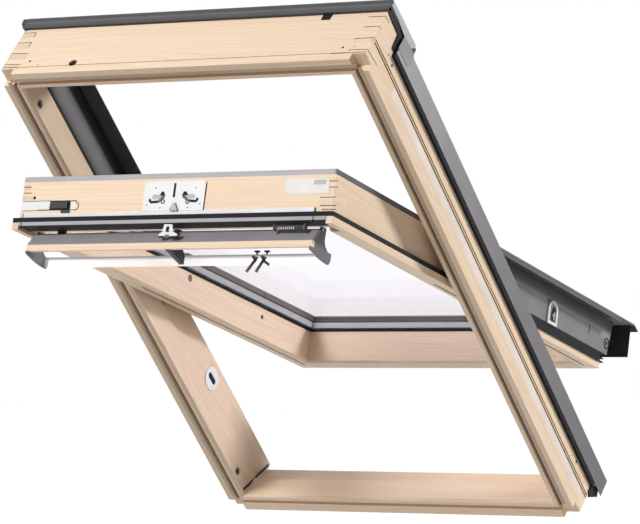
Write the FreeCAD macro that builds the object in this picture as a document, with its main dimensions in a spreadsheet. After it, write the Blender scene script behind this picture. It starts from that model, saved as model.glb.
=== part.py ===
import FreeCAD, Part
import Sketcher
import os
import re

# Centre pivot roof window in pine: a finger jointed frame set at the roof's pitch,
# and a glazed sash that turns about a line across the middle of the frame.
# Everything is drawn with the window closed and lying flat: X runs across, Y runs down
# the slope from the head of the frame, and Z runs from the room to the weather side.
# Each piece is then placed at the pitch, and the sash is swung open about its pivot line.

os.makedirs("parts", exist_ok=True)
doc = FreeCAD.newDocument("CentrePivotWindow")
sizes = doc.addObject("Spreadsheet::Sheet", "Sizes")

# Driving dimensions, in millimetres and degrees
DIMENSIONS = {
    # frame
    "width": 780,
    "height": 1178,
    "frame_depth": 126,
    "pitch": 45,
    "jamb_room": 40,
    "jamb_weather": 32,
    "head_room": 38,
    "head_weather": 30,
    "rebate_depth": 68,
    "lip_depth": 14.7,
    "lip_setback": 28,
    "lining_groove_inset": 20,
    "lining_groove_width": 8,
    "lining_groove_depth": 10,
    "edge_ease": 4,
    "kerf_width": 1.6,
    "kerf_depth": 4,
    "kerf_room_level": 49.5,
    "kerf_weather_level": 55.5,
    "head_kerf_level": 18,
    "sill_room": 41,
    "sill_step": 36,
    "sill_ledge": 18,
    "sill_nose": 8,
    "sill_fall": 12,
    "sill_drop": 22,
    "finger_first_level": 28,
    "finger_width": 15,
    "finger_pitch": 30,
    "fixing_hole_diameter": 8,
    "fixing_hole_level": 20,
    "fixing_hole_inset": 92,
    "counterbore_diameter": 17,
    "counterbore_depth": 6,
    "head_hole_place": 155,
    "head_hole_level": 25,
    # weather covers on the frame
    "sheet": 1.5,
    "clad_offset": 8,
    "clad_height": 38,
    "clad_start": 64,
    "clad_overrun": 33,
    "clad_flange": 5,
    "seal_band_height": 46,
    "cover_inset": 10,
    "cover_reach": 68,
    "cover_rise": 25,
    "cover_gap": 5,
    "cover_lap": 20,
    "hinge_gap": 60,
    "hood_length": 113,
    "hood_overhang": 6,
    "hood_side_overhang": 2.5,
    "hood_rise": 26.5,
    "hood_drop": 1,
    "hood_cheek": 16,
    # sash
    "opening": 31.2,
    "pivot_rise": 31.3,
    "sash_set_in": 83.8,
    "sash_inset": 48.6,
    "body_inset": 57,
    "flange_depth": 13,
    "sash_seal_depth": 9,
    "wood_depth": 92,
    "trim_depth": 10,
    "trim_width": 25,
    "stile_thickness": 28,
    "top_rail_thickness": 46,
    "bottom_rail_thickness": 39,
    "glazing_rebate": 12,
    "pane_level": 68,
    "pane": 4,
    "spacer_depth": 12,
    "edge_seal_depth": 4,
    "spacer_width": 9,
    "glazing_seal_depth": 3,
    "fit": 0.5,
    "sash_finger_level": 26,
    "sash_finger_width": 10,
    "sash_finger_pitch": 20,
    # weather covers on the sash
    "skirt_inset": 45,
    "skirt_low": 32,
    "skirt_top": 105,
    "skirt_lip": 11,
    "skirt_leg_start": 90,
    "skirt_end_low": 29,
    "skirt_end_top": 14,
    "foot_plate_place": 8,
    "foot_plate_low": 37,
    "foot_end_inset": 7,
    "drip_run": 29,
    "drip_drop": 10,
    # pivot hinges
    "rail_radius": 66,
    "rail_width": 8,
    "rail_height": 8,
    "rail_head": 16,
    "rail_tail": 56,
    "hinge_plate": 2.5,
    "hinge_plate_drop": 2,
    "hinge_plate_height": 60,
    "hinge_plate_head": 42,
    "hinge_plate_tail": 72,
    "hinge_clearance": 0.4,
    "shoe_half_angle": 15,
    "shoe_wall": 6,
    # control bar and ventilation flap, with depths measured from the sash's room face
    "vent_inset": 62,
    "vent_recess": 8,
    "bar_inset": 86,
    "bracket_thickness": 4,
    "gusset_thickness": 10,
    "rod_diameter": 5,
    "rod_clearance": 0.05,
    "rod_place": 84,
    "rod_drop": 2,
    "lug_place": 130,
    "lug_width": 14,
    "lug_radius": 4.2,
    "bracket_rise": 3,
    "bracket_wall": 5,
    "neck_back": 95,
    "waist_place": 93.3,
    "waist_level": 20,
    "waist_foot_place": 97.5,
    "waist_foot_level": 28,
    "hook_place": 108,
    "hook_level": 36.5,
    "bracket_back": 121,
    "heel_place": 116,
    "heel_rise": 7,
    "bracket_low": 57.5,
    "nose_place": 49,
    "nose_height": 5,
    "flap_top": 5.3,
    "flap_low": 29.2,
    "flap_front": 51.5,
    "flap_lean": 18.2,
    "flap_thickness": 8,
    "strip_height": 11.6,
    "strip_thickness": 9,
    "handle_front": 109,
    "handle_thickness": 11,
    "handle_top": 38,
    "handle_height": 17,
    # lock plate, bolt and the plates at the sides
    "lock_plate_width": 130,
    "lock_plate_height": 56,
    "lock_plate_low": 31,
    "lock_plate_thickness": 2,
    "lock_slot_width": 5,
    "lock_slot_height": 26,
    "lock_slot_low": 56,
    "lock_corner": 10,
    "hook_slot_length": 26,
    "hook_slot_height": 9,
    "hook_slot_level": 57,
    "hook_slot_place": 33,
    "bolt_pocket_length": 121,
    "bolt_pocket_height": 17,
    "bolt_pocket_depth": 13,
    "bolt_level": 46.5,
    "bolt_diameter": 9,
    "bolt_guide_length": 38,
    "bolt_length": 100,
    "bolt_setback": 3,
    "bolt_knob_width": 42,
    "bolt_knob_height": 13,
    "plate_place": 302,
    "plate_drop": 36,
    "plate_diameter": 48,
    "plate_thickness": 2,
    "plate_slot_length": 31,
    "plate_slot_height": 13,
    "catch_thickness": 4,
    "catch_place": 308,
    "catch_low": 31,
    "catch_width": 39,
    "catch_height": 47,
    "catch_wall": 5.5,
}

# Levels that follow the frame's weather face
LEVELS = {
    "rebate_level": "(frame_depth - rebate_depth)",
    "sill_depth": "(frame_depth - sill_drop)",
    "clad_low": "(frame_depth - clad_height)",
    "seal_band_low": "(frame_depth - seal_band_height)",
    "cover_top": "(frame_depth + cover_rise)",
    "hood_top": "(frame_depth + hood_rise)",
    "hood_front_low": "(frame_depth - hood_drop)",
    "hood_side_low": "(frame_depth + hood_rise - hood_cheek)",
    "pivot_level": "(frame_depth + pivot_rise)",
    "sash_level": "(frame_depth - sash_set_in)",
    "plate_level": "(frame_depth - plate_drop)",
}


def fill_sheet():
    for row, (alias, number) in enumerate(DIMENSIONS.items(), start=1):
        sizes.set(f"A{row}", alias)
        sizes.set(f"B{row}", str(number))
        sizes.setAlias(f"B{row}", alias)
    doc.recompute()


def bound(formula):
    """A formula in size names, as an expression that reads the sheet."""
    def stand_in(found):
        word = found.group(0)
        if word in LEVELS:
            return bound(LEVELS[word])
        return f"Sizes.{word}" if word in DIMENSIONS else word
    return re.sub(r"\b[a-z_]+\b", stand_in, str(formula))


def value(formula):
    return float(sizes.evalExpression(bound(formula)))


def new_body(label):
    body = doc.addObject("PartDesign::Body", label)
    body.Label = label
    return body


def sketch_on(body, plane, start):
    """A sketch square to an axis, lifted along it to start."""
    sketch = body.newObject("Sketcher::SketchObject", body.Name + "_sketch")
    role = plane + "_Plane"
    origin_plane = [item for item in body.Origin.OriginFeatures if item.Role == role][0]
    sketch.AttachmentSupport = [(origin_plane, "")]
    sketch.MapMode = "FlatFace"
    lift = f"-({start})" if plane == "XZ" else start
    sketch.setExpression("AttachmentOffset.Base.z", bound(lift))
    return sketch


def pin(sketch, kind, places, formula):
    """A constraint whose size is a formula of the sheet."""
    number = sketch.addConstraint(Sketcher.Constraint(kind, *places, value(formula)))
    sketch.setExpression(f"Constraints[{number}]", bound(formula))


def add_loop(sketch, corners):
    """A closed outline whose every corner is pinned to formulas of the sheet."""
    first = sketch.GeometryCount
    spots = [FreeCAD.Vector(value(x), value(y), 0) for x, y in corners]
    count = len(corners)
    for index in range(count):
        sketch.addGeometry(Part.LineSegment(spots[index], spots[(index + 1) % count]))
    for index in range(count):
        edge = first + index
        following = first + (index + 1) % count
        sketch.addConstraint(Sketcher.Constraint("Coincident", edge, 2, following, 1))
        pin(sketch, "DistanceX", (-1, 1, edge, 1), corners[index][0])
        pin(sketch, "DistanceY", (-1, 1, edge, 1), corners[index][1])


def add_circle(sketch, centre, diameter):
    spot = FreeCAD.Vector(value(centre[0]), value(centre[1]), 0)
    edge = sketch.addGeometry(Part.Circle(spot, FreeCAD.Vector(0, 0, 1), value(diameter) / 2))
    pin(sketch, "DistanceX", (-1, 1, edge, 3), centre[0])
    pin(sketch, "DistanceY", (-1, 1, edge, 3), centre[1])
    pin(sketch, "Diameter", (edge,), diameter)


def add_slot(sketch, centre, length, height):
    """A round ended slot that lies along the sketch's first axis."""
    half_run = f"(({length}) - ({height})) / 2"
    left = (f"({centre[0]}) - {half_run}", centre[1])
    right = (f"({centre[0]}) + {half_run}", centre[1])
    radius = value(height) / 2
    a = FreeCAD.Vector(value(left[0]), value(left[1]), 0)
    b = FreeCAD.Vector(value(right[0]), value(right[1]), 0)
    up = FreeCAD.Vector(0, radius, 0)
    side = FreeCAD.Vector(radius, 0, 0)
    first = sketch.GeometryCount
    sketch.addGeometry(Part.Arc(a + up, a - side, a - up))
    sketch.addGeometry(Part.LineSegment(a - up, b - up))
    sketch.addGeometry(Part.Arc(b - up, b + side, b + up))
    sketch.addGeometry(Part.LineSegment(b + up, a + up))
    for index in range(4):
        edge = first + index
        following = first + (index + 1) % 4
        ends = joined_ends(sketch, edge, following)
        sketch.addConstraint(Sketcher.Constraint("Tangent", edge, ends[0], following, ends[1]))
    for edge, spot in ((first, left), (first + 2, right)):
        pin(sketch, "DistanceX", (-1, 1, edge, 3), spot[0])
        pin(sketch, "DistanceY", (-1, 1, edge, 3), spot[1])
    pin(sketch, "Diameter", (first,), height)


def joined_ends(sketch, edge, following):
    """Which ends of two neighbouring edges meet."""
    for end in (1, 2):
        for other in (1, 2):
            gap = sketch.getPoint(edge, end) - sketch.getPoint(following, other)
            if gap.Length < 1e-6:
                return end, other
    raise ValueError("edges do not meet")


def pad(body, sketch, plane, length):
    feature = body.newObject("PartDesign::Pad", body.Name + "_pad")
    feature.Profile = sketch
    feature.setExpression("Length", bound(length))
    feature.Reversed = plane == "XZ"
    sketch.Visibility = False
    body.Tip = feature
    return feature


def pocket(body, sketch, plane, length):
    feature = body.newObject("PartDesign::Pocket", body.Name + "_pocket")
    feature.Profile = sketch
    feature.setExpression("Length", bound(length))
    feature.Reversed = plane != "XZ"
    sketch.Visibility = False
    body.Tip = feature
    return feature


def add_prism(body, plane, corners, start, length):
    sketch = sketch_on(body, plane, start)
    add_loop(sketch, corners)
    pad(body, sketch, plane, length)


def cut_prism(body, plane, corners, start, length):
    sketch = sketch_on(body, plane, start)
    add_loop(sketch, corners)
    pocket(body, sketch, plane, length)


def cut_holes(body, plane, centres, diameter, start, length):
    sketch = sketch_on(body, plane, start)
    for centre in centres:
        add_circle(sketch, centre, diameter)
    pocket(body, sketch, plane, length)


def prism(label, plane, corners, start, length):
    body = new_body(label)
    add_prism(body, plane, corners, start, length)
    return body


def rectangle(left, right, low, top):
    return [(left, low), (right, low), (right, top), (left, top)]


def box(label, left, right, near, far, low, top):
    """A square block, from three pairs of formulas."""
    return prism(label, "XY", rectangle(left, right, near, far), low, f"({top}) - ({low})")


def ring(label, outer, inner, low, depth):
    """A flat rectangular ring: outer and inner are (left, right, near, far)."""
    body = new_body(label)
    sketch = sketch_on(body, "XY", low)
    add_loop(sketch, rectangle(*outer))
    add_loop(sketch, rectangle(*inner))
    pad(body, sketch, "XY", depth)
    return body


def across(side, place):
    """The same place on the left half or mirrored on the right half."""
    return place if side == "left" else f"width - ({place})"


def layer_start(side, near, thickness):
    """Where a layer begins across the window, counted from either side."""
    return near if side == "left" else f"width - ({near}) - ({thickness})"


def mirrored(side, corners):
    return [(across(side, x), z) for x, z in corners]


def boolean(kind, label, base, tool):
    result = doc.addObject(f"Part::{kind}", label.replace(" ", "_"))
    result.Label = label
    result.Base = base
    result.Tool = tool
    return result


frame_pieces = []
sash_pieces = []
bar_pieces = []
bolt_pieces = []


# Frame members

def jamb_blank(side):
    kerfs = []
    for level in ("kerf_weather_level", "kerf_room_level"):
        kerfs += [("0", f"{level} + kerf_width"), ("kerf_depth", f"{level} + kerf_width"),
                  ("kerf_depth", level), ("0", level)]
    profile = [("0", "lip_depth"), ("jamb_room", "lip_depth"), ("jamb_room", "rebate_level"),
               ("jamb_weather", "rebate_level"), ("jamb_weather", "frame_depth"),
               ("0", "frame_depth")] + kerfs
    body = prism(f"{side} jamb blank", "XZ", mirrored(side, profile), "0", "height")
    add_prism(body, "XZ", mirrored(side, lip_profile("jamb_room")),
              "lip_setback", "height - 2 * lip_setback")
    places = [("fixing_hole_inset", "fixing_hole_level"),
              ("height - fixing_hole_inset", "fixing_hole_level")]
    start = "0" if side == "left" else "width - jamb_room"
    cut_holes(body, "YZ", places, "fixing_hole_diameter", start, "jamb_room")
    seat = layer_start(side, "jamb_room - counterbore_depth", "counterbore_depth")
    cut_holes(body, "YZ", places, "counterbore_diameter", seat, "counterbore_depth")
    return body


def lip_profile(thickness):
    groove_end = "lining_groove_inset + lining_groove_width"
    return [("0", "0"), ("lining_groove_inset", "0"), ("lining_groove_inset", "lining_groove_depth"),
            (groove_end, "lining_groove_depth"), (groove_end, "0"), (f"{thickness} - edge_ease", "0"),
            (thickness, "edge_ease"), (thickness, "lip_depth"), ("0", "lip_depth")]


def run_kerfs_through(body, near, far):
    """The jambs' outer kerfs, carried across the ends of a member."""
    for side in ("left", "right"):
        left, right = ("0", "kerf_depth") if side == "left" else ("width - kerf_depth", "width")
        for level in ("kerf_room_level", "kerf_weather_level"):
            corners = rectangle(left, right, level, f"{level} + kerf_width")
            cut_prism(body, "XZ", corners, near, f"({far}) - ({near})")


def head_blank():
    profile = [("0", "lip_depth"), ("head_room", "lip_depth"), ("head_room", "rebate_level"),
               ("head_weather", "rebate_level"), ("head_weather", "frame_depth"), ("0", "frame_depth"),
               ("0", "head_kerf_level + kerf_width"), ("kerf_depth", "head_kerf_level + kerf_width"),
               ("kerf_depth", "head_kerf_level"), ("0", "head_kerf_level")]
    body = prism("head blank", "YZ", profile, "0", "width")
    add_prism(body, "YZ", lip_profile("head_room"), "lip_setback", "width - 2 * lip_setback")
    run_kerfs_through(body, "0", "head_room")
    cut_holes(body, "XZ", [("head_hole_place", "head_hole_level")], "counterbore_diameter",
              "0", "counterbore_depth")
    return body


def sill_blank():
    def up(place):
        return f"height - ({place})"
    profile = [(up("0"), "lip_depth"), (up("sill_room"), "lip_depth"),
               (up("sill_step"), "rebate_level - edge_ease"),
               (up("sill_ledge"), "rebate_level + sill_fall"),
               (up("sill_nose"), "sill_depth"), (up("0"), "sill_depth")]
    body = prism("sill blank", "YZ", profile, "0", "width")
    lip = [(up(place), level) for place, level in lip_profile("sill_room")]
    add_prism(body, "YZ", lip, "lip_setback", "width - 2 * lip_setback")
    run_kerfs_through(body, "height - sill_room", "height")
    return body


def finger_slabs(label, first, width, pitch, count, base_level="0"):
    """Level bands of the corners that belong to the members across."""
    slabs = []
    for index in range(count):
        slab = doc.addObject("Part::Box", f"{label}_{index}")
        slab.setExpression("Length", bound("width"))
        slab.setExpression("Width", bound("height"))
        slab.setExpression("Height", bound(width))
        slab.setExpression("Placement.Base.z", bound(f"{base_level} + {first} + {index} * {pitch}"))
        slabs.append(slab)
    group = doc.addObject("Part::Compound", label)
    group.Links = slabs
    return group


def finger_jointed(uprights, rails, slabs):
    """Members whose corners interlock: the rails keep the slabs' levels, the uprights the rest."""
    rail_fingers = [boolean("Common", f"{label} fingers", blank, slabs) for label, blank in rails]
    upright_fingers = [boolean("Cut", f"{label} fingers", blank, slabs) for label, blank in uprights]
    members = []
    for group, others in ((uprights, rail_fingers), (rails, upright_fingers)):
        for label, blank in group:
            started = boolean("Cut", f"{label} started", blank, others[0])
            members.append(boolean("Cut", label, started, others[1]))
    return members


def frame_members():
    slabs = finger_slabs("frame_fingers", "finger_first_level", "finger_width", "finger_pitch", 4)
    jambs = [(f"frame_{side}_jamb", jamb_blank(side)) for side in ("left", "right")]
    rails = [("frame_head", head_blank()), ("frame_sill", sill_blank())]
    frame_pieces.extend(finger_jointed(jambs, rails, slabs))


# Weather covers fixed to the frame

def frame_covers():
    for side in ("left", "right"):
        outer = "-clad_offset"
        leg = [(outer, "clad_low"), (f"{outer} + sheet", "clad_low"),
               (f"{outer} + sheet", "frame_depth"), ("clad_flange", "frame_depth"),
               ("clad_flange", "frame_depth + sheet"), (outer, "frame_depth + sheet")]
        run = "height + clad_overrun - clad_start"
        cladding = prism(f"side_cladding_{side}", "XZ", mirrored(side, leg), "clad_start", run)
        seal = box(f"frame_seal_{side}", across(side, "0" if side == "left" else "-(clad_offset - sheet)"),
                   across(side, "-(clad_offset - sheet)" if side == "left" else "0"),
                   "clad_start", "height", "seal_band_low", "frame_depth")
        base = "frame_depth + sheet"
        cover = [("0", base), ("cover_inset + sheet", base), ("cover_inset + sheet", "cover_top - sheet"),
                 ("cover_reach", "cover_top - sheet"), ("cover_reach", "cover_top"),
                 ("cover_inset", "cover_top"), ("cover_inset", f"{base} + sheet"), ("0", f"{base} + sheet")]
        upper = prism(f"upper_cover_{side}", "XZ", mirrored(side, cover), "hood_length - cover_lap",
                      "height / 2 - cover_gap - hood_length + cover_lap")
        face = "jamb_weather"
        plate = [(face, "rebate_level"), (f"{face} + sheet", "rebate_level"),
                 (f"{face} + sheet", "cover_top - sheet"), (face, "cover_top - sheet")]
        lining = prism(f"upper_lining_{side}", "XZ", mirrored(side, plate), "head_weather",
                       "height / 2 - cover_gap - head_weather - hinge_gap")
        frame_pieces.extend([cladding, seal, upper, lining])
    front = "-hood_overhang"
    foot = "frame_depth + sheet"
    roof = [(front, "hood_front_low"), (f"{front} + sheet", "hood_front_low"),
            (f"{front} + sheet", "frame_depth"), ("head_weather", "frame_depth"),
            ("head_weather", foot), (f"{front} + sheet", foot), (f"{front} + sheet", "hood_top - sheet"),
            ("hood_length", "hood_top - sheet"), ("hood_length", "hood_top"), (front, "hood_top")]
    hood = prism("head_hood", "YZ", roof, "-hood_side_overhang", "width + 2 * hood_side_overhang")
    for side in ("left", "right"):
        cheek = rectangle(across(side, "-hood_side_overhang"), across(side, "-hood_side_overhang + sheet"),
                          front, "hood_length")
        add_prism(hood, "XY", cheek, "hood_side_low", "hood_top - hood_side_low - sheet / 2")
    frame_pieces.append(hood)


# Sash members, drawn where they lie when the window is closed

GLASS_EDGE = "body_inset + stile_thickness - glazing_rebate"
GLASS_HEAD = "body_inset + top_rail_thickness - glazing_rebate"
GLASS_FOOT = "height - body_inset - bottom_rail_thickness + glazing_rebate"


def on_sash(depth):
    """A level in the closed window, from a depth behind the sash's room face."""
    return f"sash_level + {depth}"


def sash_profile(thickness):
    """Section above the flange, from the outer face inwards."""
    inner = f"body_inset + {thickness}"
    seat = "pane_level - glazing_seal_depth"
    return [("body_inset", on_sash("flange_depth")), (inner, on_sash("flange_depth")),
            (inner, on_sash(seat)), (f"{inner} - glazing_rebate", on_sash(seat)),
            (f"{inner} - glazing_rebate", on_sash("wood_depth")), ("body_inset", on_sash("wood_depth"))]


def flange_profile(thickness):
    inner = f"body_inset + {thickness}"
    return [("sash_inset", on_sash(0)), (f"{inner} - edge_ease", on_sash(0)),
            (inner, on_sash("edge_ease")), (inner, on_sash("flange_depth")),
            ("sash_inset", on_sash("flange_depth"))]


def stile_blank(side):
    body = prism(f"{side} stile blank", "XZ", mirrored(side, flange_profile("stile_thickness")),
                 "sash_inset", "height - 2 * sash_inset")
    add_prism(body, "XZ", mirrored(side, sash_profile("stile_thickness")),
              "body_inset", "height - 2 * body_inset")
    return body


def rail_blank(label, thickness, foot):
    def placed(profile):
        return [(f"height - ({y})" if foot else y, z) for y, z in profile]
    body = prism(label, "YZ", placed(flange_profile(thickness)), "sash_inset", "width - 2 * sash_inset")
    add_prism(body, "YZ", placed(sash_profile(thickness)), "body_inset", "width - 2 * body_inset")
    return body


def sash_members():
    slabs = finger_slabs("sash_fingers", "sash_finger_level", "sash_finger_width",
                         "sash_finger_pitch", 4, "sash_level")
    stiles = [(f"{side} stile", stile_blank(side)) for side in ("left", "right")]
    rails = [("top rail", rail_blank("top rail blank", "top_rail_thickness", False)),
             ("sash_bottom_rail", rail_blank("bottom rail blank", "bottom_rail_thickness", True))]
    left_stile, right_stile, top_rail, bottom_rail = finger_jointed(stiles, rails, slabs)
    hollows = doc.addObject("Part::Compound", "top_hollows")
    hollows.Links = [vent_recess(), bolt_pocket()]
    sash_pieces.append(boolean("Cut", "sash_left_stile", left_stile, hollows))
    sash_pieces.append(boolean("Cut", "sash_right_stile", right_stile, hollows))
    sash_pieces.append(boolean("Cut", "sash_top_rail", top_rail, hollows))
    sash_pieces.append(bottom_rail)


def vent_recess():
    """The set back face of the top rail, where the ventilation flap works."""
    return box("vent recess", "vent_inset", "width - vent_inset", "sash_inset",
               "body_inset + top_rail_thickness", on_sash(0), on_sash("vent_recess"))


def bolt_pocket():
    """The open ended pocket in the top rail's outer face, for the barrel bolt."""
    half = "bolt_pocket_height / 2"
    return box("bolt pocket", "body_inset", "body_inset + bolt_pocket_length",
               "body_inset", "body_inset + bolt_pocket_depth",
               on_sash(f"bolt_level - {half}"), on_sash(f"bolt_level + {half}"))


def glazing():
    inset = f"{GLASS_EDGE} + fit"
    outline = (inset, f"width - ({inset})", f"{GLASS_HEAD} + fit", f"{GLASS_FOOT} - fit")

    def layer(label, depth, thickness):
        return box(label, *outline, on_sash(depth), on_sash(f"{depth} + {thickness}"))

    def border(label, depth, thickness, band):
        inner = (f"{outline[0]} + {band}", f"{outline[1]} - ({band})",
                 f"{outline[2]} + {band}", f"{outline[3]} - ({band})")
        return ring(label, outline, inner, on_sash(depth), thickness)
    cavity = "pane_level + pane"
    back = "pane_level + pane + spacer_depth + edge_seal_depth"
    sash_pieces.append(border("glazing_seal", "pane_level - glazing_seal_depth",
                              "glazing_seal_depth", "glazing_rebate + glazing_seal_depth / 2"))
    sash_pieces.append(layer("glass_inner_pane", "pane_level", "pane"))
    sash_pieces.append(border("glass_spacer", cavity, "spacer_depth + edge_seal_depth",
                              "glazing_rebate + spacer_width"))
    sash_pieces.append(layer("glass_outer_pane", back, "pane"))


def sash_seal():
    """The gasket on the sash's flange, deeper down the sides of the lower half."""
    outer = ("sash_inset", "width - sash_inset", "sash_inset", "height - sash_inset")
    inner = ("body_inset", "width - body_inset", "body_inset", "height - body_inset")
    seal = ring("sash_seal", outer, inner, on_sash("flange_depth"), "sash_seal_depth")
    for side in ("left", "right"):
        corners = mirrored(side, rectangle("skirt_inset", "body_inset", on_sash("flange_depth"),
                                           on_sash("skirt_low")))
        add_prism(seal, "XZ", corners, "height / 2 + skirt_leg_start",
                  "height / 2 - skirt_leg_start - body_inset")
    sash_pieces.append(seal)


def sash_covers():
    edge = "body_inset"
    inner = "body_inset + trim_width"
    stop = "height / 2 - cover_gap"
    outline = [(edge, edge), (f"width - {edge}", edge), (f"width - {edge}", stop),
               (f"width - ({inner})", stop), (f"width - ({inner})", inner), (inner, inner),
               (inner, stop), (edge, stop)]
    trim = prism("sash_upper_trim", "XY", outline, on_sash("wood_depth"), "trim_depth")
    sash_pieces.append(trim)
    under = on_sash("skirt_top - sheet")
    leg = f"{inner} - sheet"
    lip = on_sash("skirt_top - skirt_lip")
    for side in ("left", "right"):
        profile = [(leg, under), (leg, on_sash("wood_depth")), (inner, on_sash("wood_depth")),
                   (inner, on_sash("skirt_top")), ("cover_inset", on_sash("skirt_top")),
                   ("cover_inset", lip), ("cover_inset + sheet", lip), ("cover_inset + sheet", under)]
        skirt = prism(f"sash_skirt_{side}", "XZ", mirrored(side, profile), "height / 2 + cover_gap",
                      "height / 2 - cover_gap - sash_inset")
        leg_top = on_sash("skirt_top - sheet / 2")
        leg_start = "height / 2 + skirt_leg_start"
        plate = [(leg_start, on_sash("skirt_low")), ("height - skirt_end_low", on_sash("skirt_low")),
                 ("height - skirt_end_top", under), ("height - sash_inset", under),
                 ("height - sash_inset", leg_top), (leg_start, leg_top)]
        add_prism(skirt, "YZ", plate, layer_start(side, "skirt_inset", "sheet"), "sheet")
        sash_pieces.append(skirt)
    foot_inner = f"height - ({inner})"
    plate = "height + foot_plate_place"
    drip = "height + drip_run"
    profile = [(foot_inner, on_sash("wood_depth")), (f"{foot_inner} + sheet", on_sash("wood_depth")),
               (f"{foot_inner} + sheet", under), (plate, under), (plate, on_sash("foot_plate_low")),
               (f"{plate} + sheet", on_sash("foot_plate_low")), (f"{plate} + sheet", under),
               (drip, on_sash("skirt_top - sheet - drip_drop")), (drip, on_sash("skirt_top - drip_drop")),
               (f"{plate} + sheet", on_sash("skirt_top")), (foot_inner, on_sash("skirt_top"))]
    foot = prism("sash_foot_cover", "YZ", profile, inner, f"width - 2 * ({inner})")
    ends = [("height - sash_inset", under), (f"{plate} + sheet", under),
            (drip, on_sash("skirt_top - sheet - drip_drop")), (drip, on_sash("skirt_top - drip_drop")),
            (f"{plate} + sheet", on_sash("skirt_top")), ("height - sash_inset", on_sash("skirt_top"))]
    hanging_end = "cover_inset + foot_end_inset"
    down = rectangle(plate, f"{plate} + sheet", on_sash("foot_plate_low"), on_sash("skirt_top - sheet / 2"))
    for side in ("left", "right"):
        run = f"{inner} - cover_inset"
        add_prism(foot, "YZ", ends, layer_start(side, "cover_inset", run), run)
        run = f"{inner} - ({hanging_end})"
        add_prism(foot, "YZ", down, layer_start(side, hanging_end, run), run)
    sash_pieces.append(foot)


# Pivot hinges: a curved rail on the jamb and a shoe on the sash that runs along it.
# Both are struck from the pivot line, which lies level with the weather covers.

def arc_sector(body, inner, outer, first, last, near, thickness):
    """A slice of a ring about the pivot line, between two angles from the room side."""
    sketch = sketch_on(body, "YZ", near)
    centre = FreeCAD.Vector(value("height / 2"), value("pivot_level"), 0)
    middle = f"(({first}) + ({last})) / 2"

    def spot(radius, turn):
        swing = FreeCAD.Rotation(FreeCAD.Vector(0, 0, 1), value(turn))
        return centre + swing.multVec(FreeCAD.Vector(0, -value(radius), 0))
    sketch.addGeometry(Part.LineSegment(spot(inner, first), spot(outer, first)))
    sketch.addGeometry(Part.Arc(spot(outer, first), spot(outer, middle), spot(outer, last)))
    sketch.addGeometry(Part.LineSegment(spot(outer, last), spot(inner, last)))
    sketch.addGeometry(Part.Arc(spot(inner, last), spot(inner, middle), spot(inner, first)))
    for edge in range(4):
        following = (edge + 1) % 4
        ends = joined_ends(sketch, edge, following)
        sketch.addConstraint(Sketcher.Constraint("Coincident", edge, ends[0], following, ends[1]))
    for edge, radius in ((1, outer), (3, inner)):
        pin(sketch, "Radius", (edge,), radius)
        pin(sketch, "DistanceX", (-1, 1, edge, 3), "height / 2")
        pin(sketch, "DistanceY", (-1, 1, edge, 3), "pivot_level")
    ends = ((0, 1, inner, first), (0, 2, outer, first), (2, 1, outer, last), (2, 2, inner, last))
    for edge, end, radius, turn in ends:
        pin(sketch, "DistanceX", (-1, 1, edge, end), f"height / 2 + ({radius}) * sin({turn})")
    pad(body, sketch, "YZ", thickness)


def pivot_hinges():
    rail_inner = "rail_radius - rail_width / 2"
    rail_outer = "rail_radius + rail_width / 2"
    for side in ("left", "right"):
        guide = new_body(f"pivot_guide_{side}")
        corners = rectangle("height / 2 - hinge_plate_head", "height / 2 + hinge_plate_tail",
                            "frame_depth - hinge_plate_drop - hinge_plate_height",
                            "frame_depth - hinge_plate_drop")
        add_prism(guide, "YZ", corners, layer_start(side, "jamb_weather", "hinge_plate"), "hinge_plate")
        face = "jamb_weather + hinge_plate"
        arc_sector(guide, rail_inner, rail_outer, "-rail_head", "rail_tail",
                   layer_start(side, face, "rail_height"), "rail_height")
        frame_pieces.append(guide)
        shoe = new_body(f"pivot_shoe_{side}")
        bridge_near = f"{face} + rail_height + hinge_clearance"
        bridge = f"body_inset - ({bridge_near})"
        jaw_inner = f"{rail_inner} - hinge_clearance"
        jaw_outer = f"{rail_outer} + hinge_clearance"
        spread = ("-shoe_half_angle", "shoe_half_angle")
        arc_sector(shoe, f"{jaw_inner} - shoe_wall", f"{jaw_outer} + shoe_wall", *spread,
                   layer_start(side, bridge_near, bridge), bridge)
        jaw = "rail_height - hinge_plate"
        jaw_near = layer_start(side, f"{bridge_near} - ({jaw})", jaw)
        arc_sector(shoe, f"{jaw_inner} - shoe_wall", jaw_inner, *spread, jaw_near, jaw)
        arc_sector(shoe, jaw_outer, f"{jaw_outer} + shoe_wall", *spread, jaw_near, jaw)
        sash_pieces.append(shoe)


# Ventilation flap and control bar under the sash's top rail

def hanging(depth):
    """A level below the sash's room face."""
    return f"sash_level - ({depth})"


def vent_strip():
    """The metal strip along the recess, with the two lugs that carry the bar's rod."""
    face = on_sash("vent_recess - sheet")
    back = "rod_place + lug_radius"
    corners = [("sash_inset - sheet", face), (back, face), (back, on_sash("vent_recess")),
               ("sash_inset", on_sash("vent_recess")), ("sash_inset", on_sash("flange_depth")),
               ("sash_inset - sheet", on_sash("flange_depth"))]
    strip = prism("vent_strip", "YZ", corners, "vent_inset", "width - 2 * vent_inset")
    rod_spot = ("rod_place", hanging("rod_drop"))
    stem = rectangle("rod_place - lug_radius", back, rod_spot[1], on_sash("vent_recess - sheet / 2"))
    for side in ("left", "right"):
        start = layer_start(side, "lug_place", "lug_width")
        add_prism(strip, "YZ", stem, start, "lug_width")
        sketch = sketch_on(strip, "YZ", start)
        add_circle(sketch, rod_spot, "2 * lug_radius")
        pad(strip, sketch, "YZ", "lug_width")
        cut_holes(strip, "YZ", [rod_spot], "rod_diameter + 2 * rod_clearance", start, "lug_width")
    sash_pieces.append(strip)


BELLY_STEPS = 5


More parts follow.
